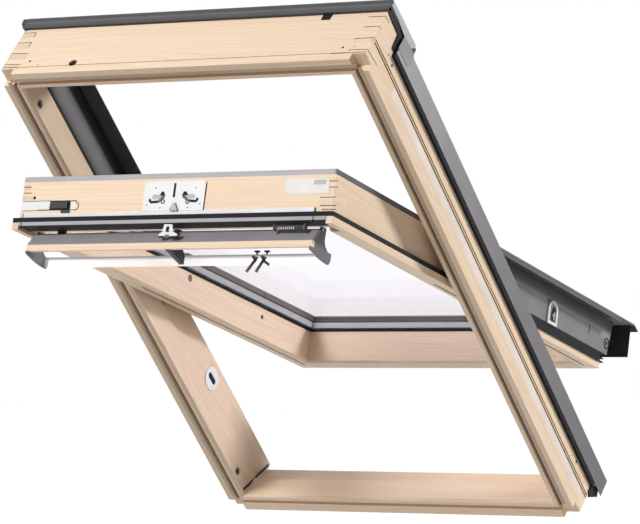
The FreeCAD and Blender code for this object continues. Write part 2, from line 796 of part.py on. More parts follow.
def bracket_belly():
    """The curve under an end bracket, from its nose to its heel."""
    nose_low = "flap_low + strip_height + nose_height"
    points = []
    for step in range(BELLY_STEPS):
        share = f"{step} / {BELLY_STEPS - 1}"
        points.append((f"nose_place + (heel_place - nose_place) * {share}",
                       hanging(f"{nose_low} + (bracket_low - ({nose_low})) * sin(90 * {share})")))
    return points


def control_bar():
    rod_spot = ("rod_place", hanging("rod_drop"))
    flap_back = "flap_front + flap_thickness"
    strip_back = "flap_front + strip_thickness"
    strip_low = hanging("flap_low + strip_height")
    flap = [("flap_front + flap_lean", hanging("flap_top")), ("flap_front", hanging("flap_low")),
            (flap_back, hanging("flap_low")), (f"{flap_back} + flap_lean", hanging("flap_top"))]
    strip = rectangle("flap_front", strip_back, strip_low, hanging("flap_low"))
    grip_low = hanging("handle_top + handle_height")
    grip = rectangle("handle_front", "handle_front + handle_thickness", grip_low, hanging("handle_top"))
    neck = [("waist_foot_place", hanging("waist_foot_level")), ("waist_place", hanging("waist_level")),
            ("neck_back", hanging("-bracket_rise")), ("rod_place - bracket_wall", hanging("-bracket_rise")),
            flap[3], flap[2], (strip_back, hanging("flap_low")), (strip_back, strip_low)]
    hook = [("bracket_back", hanging("bracket_low - heel_rise")), ("bracket_back", hanging("hook_level")),
            ("hook_place", hanging("hook_level"))]
    outline = neck + [("nose_place", strip_low)] + bracket_belly() + hook
    gusset = neck + [("flap_front + bracket_wall", strip_low), ("handle_front", grip_low),
                     ("handle_front", hanging("handle_top"))]
    shapes = (("left", "bar_inset", outline, "bracket_thickness"),
              ("middle", "(width - gusset_thickness) / 2", gusset, "gusset_thickness"),
              ("right", "width - bar_inset - bracket_thickness", outline, "bracket_thickness"))
    for name, start, corners, thickness in shapes:
        bracket = prism(f"bar_bracket_{name}", "YZ", corners, start, thickness)
        cut_holes(bracket, "YZ", [rod_spot], "rod_diameter", start, thickness)
        bar_pieces.append(bracket)
    rod = new_body("bar_rod")
    sketch = sketch_on(rod, "YZ", "bar_inset")
    add_circle(sketch, rod_spot, "rod_diameter")
    pad(rod, sketch, "YZ", "width - 2 * bar_inset")
    bar_pieces.append(rod)
    for label, corners in (("vent_flap", flap), ("pine_strip", strip)):
        bar_pieces.append(prism(label, "YZ", corners, "bar_inset", "width - 2 * bar_inset"))
    inner = "bar_inset + bracket_thickness"
    bar_pieces.append(prism("handle_bar", "YZ", grip, inner, f"width - 2 * ({inner})"))


# Lock plate, barrel bolt and side plates

def lock_plate():
    start = "body_inset - lock_plate_thickness"
    left = "(width - lock_plate_width) / 2"
    low = on_sash("lock_plate_low")
    top = on_sash("lock_plate_low + lock_plate_height")
    lower = rectangle(left, f"{left} + lock_plate_width", low, f"{top} - lock_corner")
    body = prism("lock_plate", "XZ", lower, start, "lock_plate_thickness")
    add_prism(body, "XZ", rectangle(f"{left} + lock_corner", f"{left} + lock_plate_width - lock_corner",
                                    low, top), start, "lock_plate_thickness")
    for place in (f"{left} + lock_corner", f"{left} + lock_plate_width - lock_corner"):
        corner = sketch_on(body, "XZ", start)
        add_circle(corner, (place, f"{top} - lock_corner"), "2 * lock_corner")
        pad(body, corner, "XZ", "lock_plate_thickness")
    slot = rectangle("(width - lock_slot_width) / 2", "(width + lock_slot_width) / 2",
                     on_sash("lock_slot_low"), on_sash("lock_slot_low + lock_slot_height"))
    cut_prism(body, "XZ", slot, start, "lock_plate_thickness")
    for place in ("width / 2 - hook_slot_place", "width / 2 + hook_slot_place"):
        opening = sketch_on(body, "XZ", start)
        add_slot(opening, (place, on_sash("hook_slot_level")), "hook_slot_length", "hook_slot_height")
        pocket(body, opening, "XZ", "lock_plate_thickness")
    sash_pieces.append(body)


def barrel_bolt():
    centre = ("body_inset + bolt_pocket_depth / 2", on_sash("bolt_level"))
    half = "bolt_pocket_height / 2"
    guide = box("bolt_guide", "body_inset", "body_inset + bolt_guide_length",
                "body_inset", "body_inset + bolt_pocket_depth",
                on_sash(f"bolt_level - {half}"), on_sash(f"bolt_level + {half}"))
    cut_holes(guide, "YZ", [centre], "bolt_diameter + 2 * rod_clearance",
              "body_inset", "bolt_guide_length")
    sash_pieces.append(guide)
    bolt = new_body("bolt_rod")
    sketch = sketch_on(bolt, "YZ", "body_inset + bolt_setback")
    add_circle(sketch, centre, "bolt_diameter")
    pad(bolt, sketch, "YZ", "bolt_length")
    knob_end = "body_inset + bolt_setback + bolt_length"
    knob = rectangle(f"{knob_end} - bolt_knob_width", knob_end, on_sash("bolt_level - bolt_knob_height / 2"),
                     on_sash("bolt_level + bolt_knob_height / 2"))
    add_prism(bolt, "XZ", knob, "body_inset + bolt_pocket_depth / 2 - bolt_diameter",
              "bolt_diameter")
    bolt_pieces.append(bolt)


def side_plates():
    centre = ("height / 2 + plate_place", "plate_level")
    for side in ("left", "right"):
        plate = new_body(f"side_plate_{side}")
        start = layer_start(side, "jamb_weather", "plate_thickness")
        sketch = sketch_on(plate, "YZ", start)
        add_circle(sketch, centre, "plate_diameter")
        pad(plate, sketch, "YZ", "plate_thickness")
        slot = sketch_on(plate, "YZ", start)
        add_slot(slot, centre, "plate_slot_length", "plate_slot_height")
        pocket(plate, slot, "YZ", "plate_thickness")
        frame_pieces.append(plate)
        sash_pieces.append(side_catch(side))


def side_catch(side):
    """The arched frame on the skirt, open in the middle."""
    catch = new_body(f"side_catch_{side}")
    start = layer_start(side, "skirt_inset - catch_thickness", "catch_thickness")
    place = "height / 2 + catch_place"
    half = "catch_width / 2"
    crown = on_sash(f"catch_low + catch_height - {half}")
    foot = rectangle(f"{place} - {half}", f"{place} + {half}", on_sash("catch_low"), crown)
    add_prism(catch, "YZ", foot, start, "catch_thickness")
    arch = sketch_on(catch, "YZ", start)
    add_circle(arch, (place, crown), "catch_width")
    pad(catch, arch, "YZ", "catch_thickness")
    bore = f"({half} - catch_wall)"
    window = rectangle(f"{place} - {bore}", f"{place} + {bore}",
                       on_sash("catch_low + catch_wall"), crown)
    cut_prism(catch, "YZ", window, start, "catch_thickness")
    cut_holes(catch, "YZ", [(place, crown)], f"2 * {bore}", start, "catch_thickness")
    return catch


def place_pieces():
    """Tilts the closed window to the roof's pitch and swings the sash open."""
    across_axis = FreeCAD.Vector(1, 0, 0)
    origin = FreeCAD.Vector(value("width / 2"), value("height"), value("sill_depth / 2"))
    tilt = FreeCAD.Placement(FreeCAD.Vector(), FreeCAD.Rotation(across_axis, -value("pitch")))
    window = tilt * FreeCAD.Placement(-origin, FreeCAD.Rotation())
    pivot = FreeCAD.Vector(0, value("height / 2"), value("pivot_level"))
    swing = FreeCAD.Placement(FreeCAD.Vector(), FreeCAD.Rotation(across_axis, value("opening")), pivot)
    for piece in frame_pieces:
        piece.Placement = window
    for piece in sash_pieces + bar_pieces + bolt_pieces:
        piece.Placement = window * swing
    return window, swing


def check_and_export(pieces):
    doc.recompute()
    for item in doc.Objects:
        if "Invalid" in item.State or "Error" in item.State:
            raise RuntimeError(f"{item.Label} failed: {item.State}")
    for piece in pieces:
        shape = piece.Shape
        if shape.isNull() or not shape.isValid() or len(shape.Solids) != 1:
            raise RuntimeError(f"{piece.Label} is not one valid solid")
        shape.exportStep(f"parts/{piece.Label}.step")
        print(f"{piece.Label}: {shape.Volume / 1000:.1f} cm3")


fill_sheet()
frame_members()
frame_covers()
sash_members()
glazing()
sash_seal()
sash_covers()
pivot_hinges()
vent_strip()
control_bar()
lock_plate()
barrel_bolt()
side_plates()
window, swing = place_pieces()
check_and_export(frame_pieces + sash_pieces + bar_pieces + bolt_pieces)
for name, spot in (("pivot", (value("width / 2"), value("height / 2"), value("pivot_level"))),
                   ("flap rod", (value("width / 2"), value("rod_place"), value(hanging("rod_drop")))),
                   ("bolt", (value("body_inset"), value("body_inset + bolt_pocket_depth / 2"),
                             value(on_sash("bolt_level"))))):
    place = window if name == "pivot" else window * swing
    print(name, place.multVec(FreeCAD.Vector(*spot)))
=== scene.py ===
import bpy
import bmesh
from math import cos, pi, radians, sin
from mathutils import Matrix, Vector


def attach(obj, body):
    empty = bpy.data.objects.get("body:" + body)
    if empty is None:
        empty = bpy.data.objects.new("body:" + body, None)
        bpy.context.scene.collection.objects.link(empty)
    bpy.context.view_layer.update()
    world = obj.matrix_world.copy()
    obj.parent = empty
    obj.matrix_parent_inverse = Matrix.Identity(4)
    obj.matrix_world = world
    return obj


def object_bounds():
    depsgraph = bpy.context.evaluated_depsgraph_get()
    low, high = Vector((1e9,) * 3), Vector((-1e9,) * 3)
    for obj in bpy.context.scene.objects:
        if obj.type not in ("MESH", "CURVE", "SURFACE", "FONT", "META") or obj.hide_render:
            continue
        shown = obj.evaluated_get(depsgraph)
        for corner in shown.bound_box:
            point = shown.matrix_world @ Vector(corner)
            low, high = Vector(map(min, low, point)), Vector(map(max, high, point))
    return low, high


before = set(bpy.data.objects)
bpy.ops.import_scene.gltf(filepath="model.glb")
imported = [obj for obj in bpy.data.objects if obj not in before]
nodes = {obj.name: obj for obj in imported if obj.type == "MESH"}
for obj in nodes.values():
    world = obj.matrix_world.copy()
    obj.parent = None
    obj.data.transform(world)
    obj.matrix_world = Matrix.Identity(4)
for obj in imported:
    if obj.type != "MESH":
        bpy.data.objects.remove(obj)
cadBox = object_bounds()
print("frame loaded:", len(nodes), "nodes")

# How the window stands, in millimetres. Its own directions are X across, Y from the head down
# the slope to the sill, and Z from the room face out to the weather.
window = {
    "width": 780.0,
    "length": 1178.0,
    "sillMiddle": 52.0,
    "pitch": radians(45),
    "opening": radians(31.2),
    "pivotAlong": 589.0,
    "pivotLevel": 157.3,
    "sashRoomFace": 42.2,
}
pivot = Vector((0, window["pivotAlong"], window["pivotLevel"]))
frameSpace = (
    Matrix.Scale(0.001, 4)
    @ Matrix.Rotation(-window["pitch"], 4, "X")
    @ Matrix.Translation((-window["width"] / 2, -window["length"], -window["sillMiddle"]))
)
# the sash's Z is counted from its room face, so what hangs below that face is negative
sashSpace = (
    frameSpace
    @ Matrix.Translation(pivot)
    @ Matrix.Rotation(window["opening"], 4, "X")
    @ Matrix.Translation(-pivot)
    @ Matrix.Translation((0, 0, window["sashRoomFace"]))
)


# Camera, at the photograph's viewing angle
camera = {
    "place": (3.7367, -6.7052, 0.2799),
    "azimuth": radians(30.476),
    "elevation": radians(-1.362),
    "lens": 216.37,
    "sensor": 36.0,
    "farthest": 60,
}


def addCamera():
    data = bpy.data.cameras.new("camera")
    data.lens = camera["lens"]
    data.sensor_width = camera["sensor"]
    data.clip_end = camera["farthest"]
    piece = bpy.data.objects.new("camera", data)
    flat = cos(camera["elevation"])
    ahead = Vector((-sin(camera["azimuth"]) * flat, cos(camera["azimuth"]) * flat, -sin(camera["elevation"])))
    piece.location = camera["place"]
    piece.rotation_mode = "QUATERNION"
    piece.rotation_quaternion = ahead.to_track_quat("-Z", "Y")
    bpy.context.collection.objects.link(piece)
    bpy.context.scene.camera = piece


addCamera()
bpy.context.scene.view_settings.view_transform = "Standard"
print("camera set")


# Nodes, wired up with each other's outputs or with plain values
def fill(tree, node, terms):
    # each input takes another node's output, a number or a colour
    for label, term in terms.items():
        socket = node.inputs[label]
        if isinstance(term, bpy.types.NodeSocket):
            tree.links.new(term, socket)
        elif socket.type == "RGBA":
            socket.default_value = (*term, 1)
        else:
            socket.default_value = term
    return node


def newNode(tree, kind, terms):
    return fill(tree, tree.nodes.new(kind), terms)


def step(tree, operation, *terms):
    # one arithmetic node
    node = newNode(tree, "ShaderNodeMath", dict(enumerate(terms)))
    node.operation = operation
    return node.outputs[0]


# Studio: a white backdrop that the camera, metal and glass see, and two soft lamps
studio = {
    "skyForLight": 0.33,
    "skyRightShare": 0.35,
    "skyFade": (-0.4, 0.7),
    "skyColor": (0.95, 1.0, 1.08),
    "floorDrop": 0.35,
    "floorSize": 60.0,
    "floorColor": (0.55, 0.55, 0.55),
    "floorRoughness": 0.9,
    "floorLift": 0.84,
    "lampReach": 6.0,
    "lampSize": 1.3,
    "lamps": (
        ("frontLamp", (-0.25, -0.75, 0.6), 240),
        ("rearLamp", (0.73, 0.48, 0.48), 285),
    ),
}


def raySeen(tree):
    # one for the rays that should find a plain white backdrop
    path = tree.nodes.new("ShaderNodeLightPath").outputs
    seen = step(tree, "MAXIMUM", path["Is Camera Ray"], path["Is Glossy Ray"])
    seen = step(tree, "MAXIMUM", seen, path["Is Transmission Ray"])
    # a ray that has left a dull surface carries light, even where it has gone on through glass
    direct = step(tree, "LESS_THAN", path["Diffuse Depth"], 0.5)
    return step(tree, "MULTIPLY", seen, direct)


def addWorld():
    world = bpy.data.worlds.new("studioSky")
    world.use_nodes = True
    tree = world.node_tree
    tree.nodes.clear()
    # the sky's light is weaker from the right, where the room is dark
    looking = tree.nodes.new("ShaderNodeTexCoord")
    parts = newNode(tree, "ShaderNodeSeparateXYZ", {0: looking.outputs["Generated"]})
    fade = newNode(tree, "ShaderNodeMapRange", {
        "Value": parts.outputs[0],
        "From Min": studio["skyFade"][0],
        "From Max": studio["skyFade"][1],
        "To Min": studio["skyForLight"],
        "To Max": studio["skyForLight"] * studio["skyRightShare"],
    })
    light = newNode(tree, "ShaderNodeBackground", {"Color": studio["skyColor"], "Strength": fade.outputs[0]})
    seen = newNode(tree, "ShaderNodeBackground", {"Color": (1, 1, 1)})
    terms = {"Fac": raySeen(tree), 1: light.outputs[0], 2: seen.outputs[0]}
    mix = newNode(tree, "ShaderNodeMixShader", terms)
    newNode(tree, "ShaderNodeOutputWorld", {"Surface": mix.outputs[0]})
    bpy.context.scene.world = world


def startMaterial(name):
    finish = bpy.data.materials.new(name)
    finish.use_nodes = True
    return finish, finish.node_tree, finish.node_tree.nodes["Principled BSDF"]


def addFloor():
    shape = bmesh.new()
    bmesh.ops.create_grid(shape, x_segments=1, y_segments=1, size=studio["floorSize"] / 2)
    bmesh.ops.translate(shape, verts=shape.verts, vec=(0, 0, cadBox[0].z - studio["floorDrop"]))
    mesh = bpy.data.meshes.new("floor")
    shape.to_mesh(mesh)
    shape.free()
    piece = bpy.data.objects.new("floor", mesh)
    bpy.context.collection.objects.link(piece)
    finish, tree, surface = startMaterial("paleFloor")
    fill(tree, surface, {
        "Base Color": studio["floorColor"],
        "Roughness": studio["floorRoughness"],
        "Emission Color": (1, 1, 1),
        "Emission Strength": step(tree, "MULTIPLY", raySeen(tree), studio["floorLift"]),
    })
    mesh.materials.append(finish)


def addLamps():
    middle = (cadBox[0] + cadBox[1]) / 2
    for name, towards, power in studio["lamps"]:
        data = bpy.data.lights.new(name, "AREA")
        data.shape = "DISK"
        data.size = studio["lampSize"]
        data.energy = power
        lamp = bpy.data.objects.new(name, data)
        lamp.location = middle + Vector(towards).normalized() * studio["lampReach"]
        lamp.rotation_mode = "QUATERNION"
        lamp.rotation_quaternion = (-Vector(towards)).to_track_quat("-Z", "Y")
        bpy.context.collection.objects.link(lamp)


addWorld()
addFloor()
addLamps()
print("studio lit")


# Shared effects, as node groups that several finishes use. Each gives a colour, a roughness and a height.
def newGroup(name, inputs):
    group = bpy.data.node_groups.new(name, "ShaderNodeTree")
    outputs = {"Color": "NodeSocketColor", "Roughness": "NodeSocketFloat", "Height": "NodeSocketFloat"}
    for way, sockets in (("INPUT", inputs), ("OUTPUT", outputs)):
        for label, kind in sockets.items():
            group.interface.new_socket(label, in_out=way, socket_type=kind)
    return group, group.nodes.new("NodeGroupInput").outputs, group.nodes.new("NodeGroupOutput")


def stretched(tree, vector, scale):
    return newNode(tree, "ShaderNodeMapping", {"Vector": vector, "Scale": scale}).outputs[0]


def noise(tree, vector, scale, detail=2.0, rough=0.5):
    terms = {"Vector": vector, "Scale": scale, "Detail": detail, "Roughness": rough}
    return newNode(tree, "ShaderNodeTexNoise", terms).outputs[0]


def spread(tree, amount, middle, width):
    # an amount between nothing and one, brought to a range about the middle
    return step(tree, "ADD", middle, step(tree, "MULTIPLY", step(tree, "SUBTRACT", amount, 0.5), width))


def ramp(tree, fac, stops):
    node = newNode(tree, "ShaderNodeValToRGB", {"Fac": fac})
    elements = node.color_ramp.elements
    for end in (-1, 0):
        elements[end].position = stops[end][0]
        elements[end].color = (*stops[end][1], 1)
    for place, color in stops[1:-1]:
        elements.new(place).color = (*color, 1)
    return node.outputs["Color"]


def reach(tree, space, axis):
    # how far a point lies along one of the window's own directions, in millimetres
    back = space.inverted()[axis]
    coords = tree.nodes.new("ShaderNodeTexCoord")
    along = newNode(tree, "ShaderNodeVectorMath", {0: coords.outputs["Object"], 1: back[:3]})
    along.operation = "DOT_PRODUCT"
    return step(tree, "ADD", along.outputs["Value"], back[3])


def bands(tree, distance, stops):
    # a colour that changes with a distance: each stop is a place in millimetres and a colour
    first = stops[0][0]
    span = stops[-1][0] - first
    share = step(tree, "DIVIDE", step(tree, "SUBTRACT", distance, first), span)
    return ramp(tree, share, [((place - first) / span, color) for place, color in stops])


def blendColors(tree, fac, first, second, mode="MIX"):
    node = tree.nodes.new("ShaderNodeMix")
    node.data_type = "RGBA"
    node.blend_type = mode
    return fill(tree, node, {0: fac, 6: first, 7: second}).outputs[2]


# Pine: growth rings about a pith beside the board, cut through by its faces, with fine fibres
pineGrain = {
    "pithAcross": 0.055,
    "pithDeep": 0.11,
    "ringWidth": 0.0064,
    "ringStops": ((0.0, (0, 0, 0)), (0.62, (0.25, 0.25, 0.25)), (0.86, (1, 1, 1)), (1.0, (0, 0, 0))),
    "ringContrast": 0.34,
    "ringRelief": 0.4,
    "wander": 0.088,
    "wanderScale": (1.1, 7, 7),
    "pale": (0.92, 0.73, 0.54),
    "honey": (0.86, 0.65, 0.46),
    "late": (0.74, 0.50, 0.31),
    "streakScale": (1.5, 60, 60),
    "fibreScale": (9, 700, 700),
    "fibreStops": ((0.3, (0.9, 0.88, 0.86)), (0.6, (1, 1, 1))),
    "fibreShare": 0.6,
    "roughness": 0.34,
    "roughSpread": 0.16,
    "specular": 0.2,
    "relief": 0.25,
    "depth": 0.0004,
}


def buildPineGroup():
    grain = pineGrain
    group, given, out = newGroup("pineBoard", {"Board": "NodeSocketVector", "Tone": "NodeSocketColor"})
    board = given["Board"]
    parts = newNode(group, "ShaderNodeSeparateXYZ", {0: board}).outputs
    sway = step(group, "SUBTRACT", noise(group, stretched(group, board, grain["wanderScale"]), 1.0), 0.5)
    across = step(group, "POWER", step(group, "ADD", parts[1], grain["pithAcross"]), 2.0)
    deep = step(group, "POWER", step(group, "ADD", parts[2], grain["pithDeep"]), 2.0)
    radius = step(group, "ADD", step(group, "SQRT", step(group, "ADD", across, deep)),
                  step(group, "MULTIPLY", sway, grain["wander"]))
    ring = step(group, "FRACT", step(group, "DIVIDE", radius, grain["ringWidth"]))
    band = ramp(group, ring, grain["ringStops"])
    fibre = noise(group, stretched(group, board, grain["fibreScale"]), 1.0, 3.0, 0.6)
    streak = noise(group, stretched(group, board, grain["streakScale"]), 1.0, 3.0, 0.6)
    tint = ramp(group, streak, ((0.3, grain["pale"]), (0.75, grain["honey"])))
    ringed = blendColors(group, step(group, "MULTIPLY", band, grain["ringContrast"]), tint, grain["late"])
    shade = ramp(group, fibre, grain["fibreStops"])
    fibred = blendColors(group, grain["fibreShare"], ringed, shade, "MULTIPLY")
    rough = step(group, "MULTIPLY", fibre, grain["roughSpread"])
    fill(group, out, {
        "Color": blendColors(group, 1.0, fibred, given["Tone"], "MULTIPLY"),
        "Roughness": step(group, "ADD", rough, grain["roughness"]),
        "Height": step(group, "SUBTRACT", fibre, step(group, "MULTIPLY", band, grain["ringRelief"])),
    })
    return group


# The slight unevenness of paint, plastic and rubber, and the long fine lines of metal drawn along X
unevenness = {
    "broadScale": 14.0,
    "broadStops": ((0.3, (0.88, 0.88, 0.88)), (0.7, (1.0, 1.0, 1.0))),
    "paintSpread": 0.16,
    "paintRelief": 0.1,
    "lineScale": (6, 900, 900),
    "lineStops": ((0.25, (0.86, 0.86, 0.86)), (0.75, (1.0, 1.0, 1.0))),
    "metalSpread": 0.25,
    "metalRelief": 0.08,
    "depth": 0.0002,
}


def finishGroup(group, given, out, height, shade, width):
    # darkens the colour by the shade, and varies the roughness with the height
    fill(group, out, {
        "Color": blendColors(group, 1.0, given["Color"], shade, "MULTIPLY"),
        "Roughness": spread(group, height, given["Roughness"], width),
        "Height": height,
    })
    return group


def buildSpeckGroup():
    group, given, out = newGroup("surfaceSpeck", {
        "Color": "NodeSocketColor",
        "Roughness": "NodeSocketFloat",
        "Scale": "NodeSocketFloat",
    })
    place = group.nodes.new("ShaderNodeTexCoord").outputs["Object"]
    fine = noise(group, place, given["Scale"])
    shade = ramp(group, noise(group, place, unevenness["broadScale"], 3.0), unevenness["broadStops"])
    return finishGroup(group, given, out, fine, shade, unevenness["paintSpread"])


def buildBrushGroup():
    group, given, out = newGroup("drawnMetal", {"Color": "NodeSocketColor", "Roughness": "NodeSocketFloat"})
    place = group.nodes.new("ShaderNodeTexCoord").outputs["Object"]
    lines = noise(group, stretched(group, place, unevenness["lineScale"]), 1.0, 3.0)
    shade = ramp(group, lines, unevenness["lineStops"])
    return finishGroup(group, given, out, lines, shade, unevenness["metalSpread"])


pineGroup = buildPineGroup()
speckGroup = buildSpeckGroup()
brushGroup = buildBrushGroup()
print("effects built")


# Finishes
def coat(tree, surface, group, terms, relief, depth):
    # a group gives the surface its colour, roughness and relief
    node = tree.nodes.new("ShaderNodeGroup")
    node.node_tree = group
    made = fill(tree, node, terms).outputs
    bump = newNode(tree, "ShaderNodeBump", {"Height": made["Height"], "Strength": relief, "Distance": depth})
    fill(tree, surface, {
        "Base Color": made["Color"],
        "Roughness": made["Roughness"],
        "Normal": bump.outputs[0],
    })


def pineFinish(name, turn, lengthwise, shift, tone):
    finish, tree, surface = startMaterial(name)
    coords = tree.nodes.new("ShaderNodeTexCoord")
    board = newNode(tree, "ShaderNodeMapping", {
        "Vector": coords.outputs["Object"],
        "Rotation": (turn, 0, -pi / 2 if lengthwise else 0),
        "Location": shift,
    })
    terms = {"Board": board.outputs[0], "Tone": (tone, tone, tone)}
    coat(tree, surface, pineGroup, terms, pineGrain["relief"], pineGrain["depth"])
    fill(tree, surface, {"Specular IOR Level": pineGrain["specular"]})
    return finish


def speckFinish(name, color, roughness, fineness, specular, place=None, relief=unevenness["paintRelief"]):
    # color is one colour, or the stops of one that changes along the place's direction
    finish, tree, surface = startMaterial(name)
    if place:
        color = bands(tree, reach(tree, *place), color)
    terms = {"Color": color, "Roughness": roughness, "Scale": fineness}
    coat(tree, surface, speckGroup, terms, relief, unevenness["depth"])
    fill(tree, surface, {"Specular IOR Level": specular})
    return finish


def brushFinish(name, color, roughness):
    finish, tree, surface = startMaterial(name)
    terms = {"Color": color, "Roughness": roughness}
    coat(tree, surface, brushGroup, terms, unevenness["metalRelief"], unevenness["depth"])
    fill(tree, surface, {"Metallic": 1.0})
    return finish


# Glass with a faint haze, clear where it would cast a shadow
glass = {
    "tint": (0.965, 0.955, 0.985),
    "bending": 1.04,
    "hazeScale": 5.0,
    "haze": ((0.35, (0.0, 0.0, 0.0)), (0.8, (0.03, 0.03, 0.03))),
    "shadow": (0.9, 0.9, 0.93),
}


def glassFinish(name):
    finish, tree, surface = startMaterial(name)
    place = tree.nodes.new("ShaderNodeTexCoord").outputs["Object"]
    fill(tree, surface, {
        "Base Color": glass["tint"],
        "Transmission Weight": 1.0,
        "IOR": glass["bending"],
        "Roughness": ramp(tree, noise(tree, place, glass["hazeScale"], 3.0), glass["haze"]),
    })
    path = tree.nodes.new("ShaderNodeLightPath")
    clear = newNode(tree, "ShaderNodeBsdfTransparent", {"Color": glass["shadow"]})
    mix = newNode(tree, "ShaderNodeMixShader", {
        "Fac": path.outputs["Is Shadow Ray"],
        1: surface.outputs[0],
        2: clear.outputs[0],
    })
    fill(tree, tree.nodes["Material Output"], {"Surface": mix.outputs[0]})
    return finish


def paint(names, finish):
    for name in names:
        nodes[name].data.materials.clear()
        nodes[name].data.materials.append(finish)


def pair(name):
    return [name + "_left", name + "_right"]


# Pine boards: how far each is turned, whether it runs down the slope, its part of the trunk, and its tone
pitch = window["pitch"]
tilt = window["pitch"] - window["opening"]
pineBoards = {
    "frame_left_jamb": (pitch, True, (0.3, 0.36, 0.02), 0.90),
    "frame_right_jamb": (pitch, True, (5.1, -0.42, 0.0), 1.0),
    "frame_head": (pitch, False, (1.7, 0.9, 0.05), 1.03),
    "frame_sill": (pitch, False, (7.2, 0.0, 0.03), 1.06),
    "sash_left_stile": (tilt, True, (3.4, 0.3, 0.1), 0.90),
    "sash_right_stile": (tilt, True, (9.3, -0.35, 0.1), 1.0),
    "sash_top_rail": (tilt, False, (2.9, 0.7, 0.05), 1.07),
    "sash_bottom_rail": (tilt, False, (6.6, 0.1, 0.02), 0.78),
    "pine_strip": (tilt, False, (4.2, 0.6, 0.1), 1.06),
}
for name, board in pineBoards.items():
    paint([name], pineFinish("pine_" + name, *board))
paint(pair("pivot_guide") + pair("pivot_shoe"), brushFinish("zincPlate", (0.42, 0.42, 0.44), 0.34))
paint(["glass_inner_pane", "glass_outer_pane"], glassFinish("clearGlass"))

# The finishes of the scene's own pieces, by name
finishes = {
    "pineShade": pineFinish("pineShade", pitch, True, (2.2, 0.5, 0.0), 0.63),
    "pinePlug": pineFinish("pinePlug", pitch, True, (6.1, 0.2, 0.1), 0.98),
}


def gray(amount):
    # the greys here lean a little to violet
    return (amount * 1.01, amount * 0.955, amount)


def grayStops(*stops):
    return [(place, gray(amount)) for place, amount in stops]


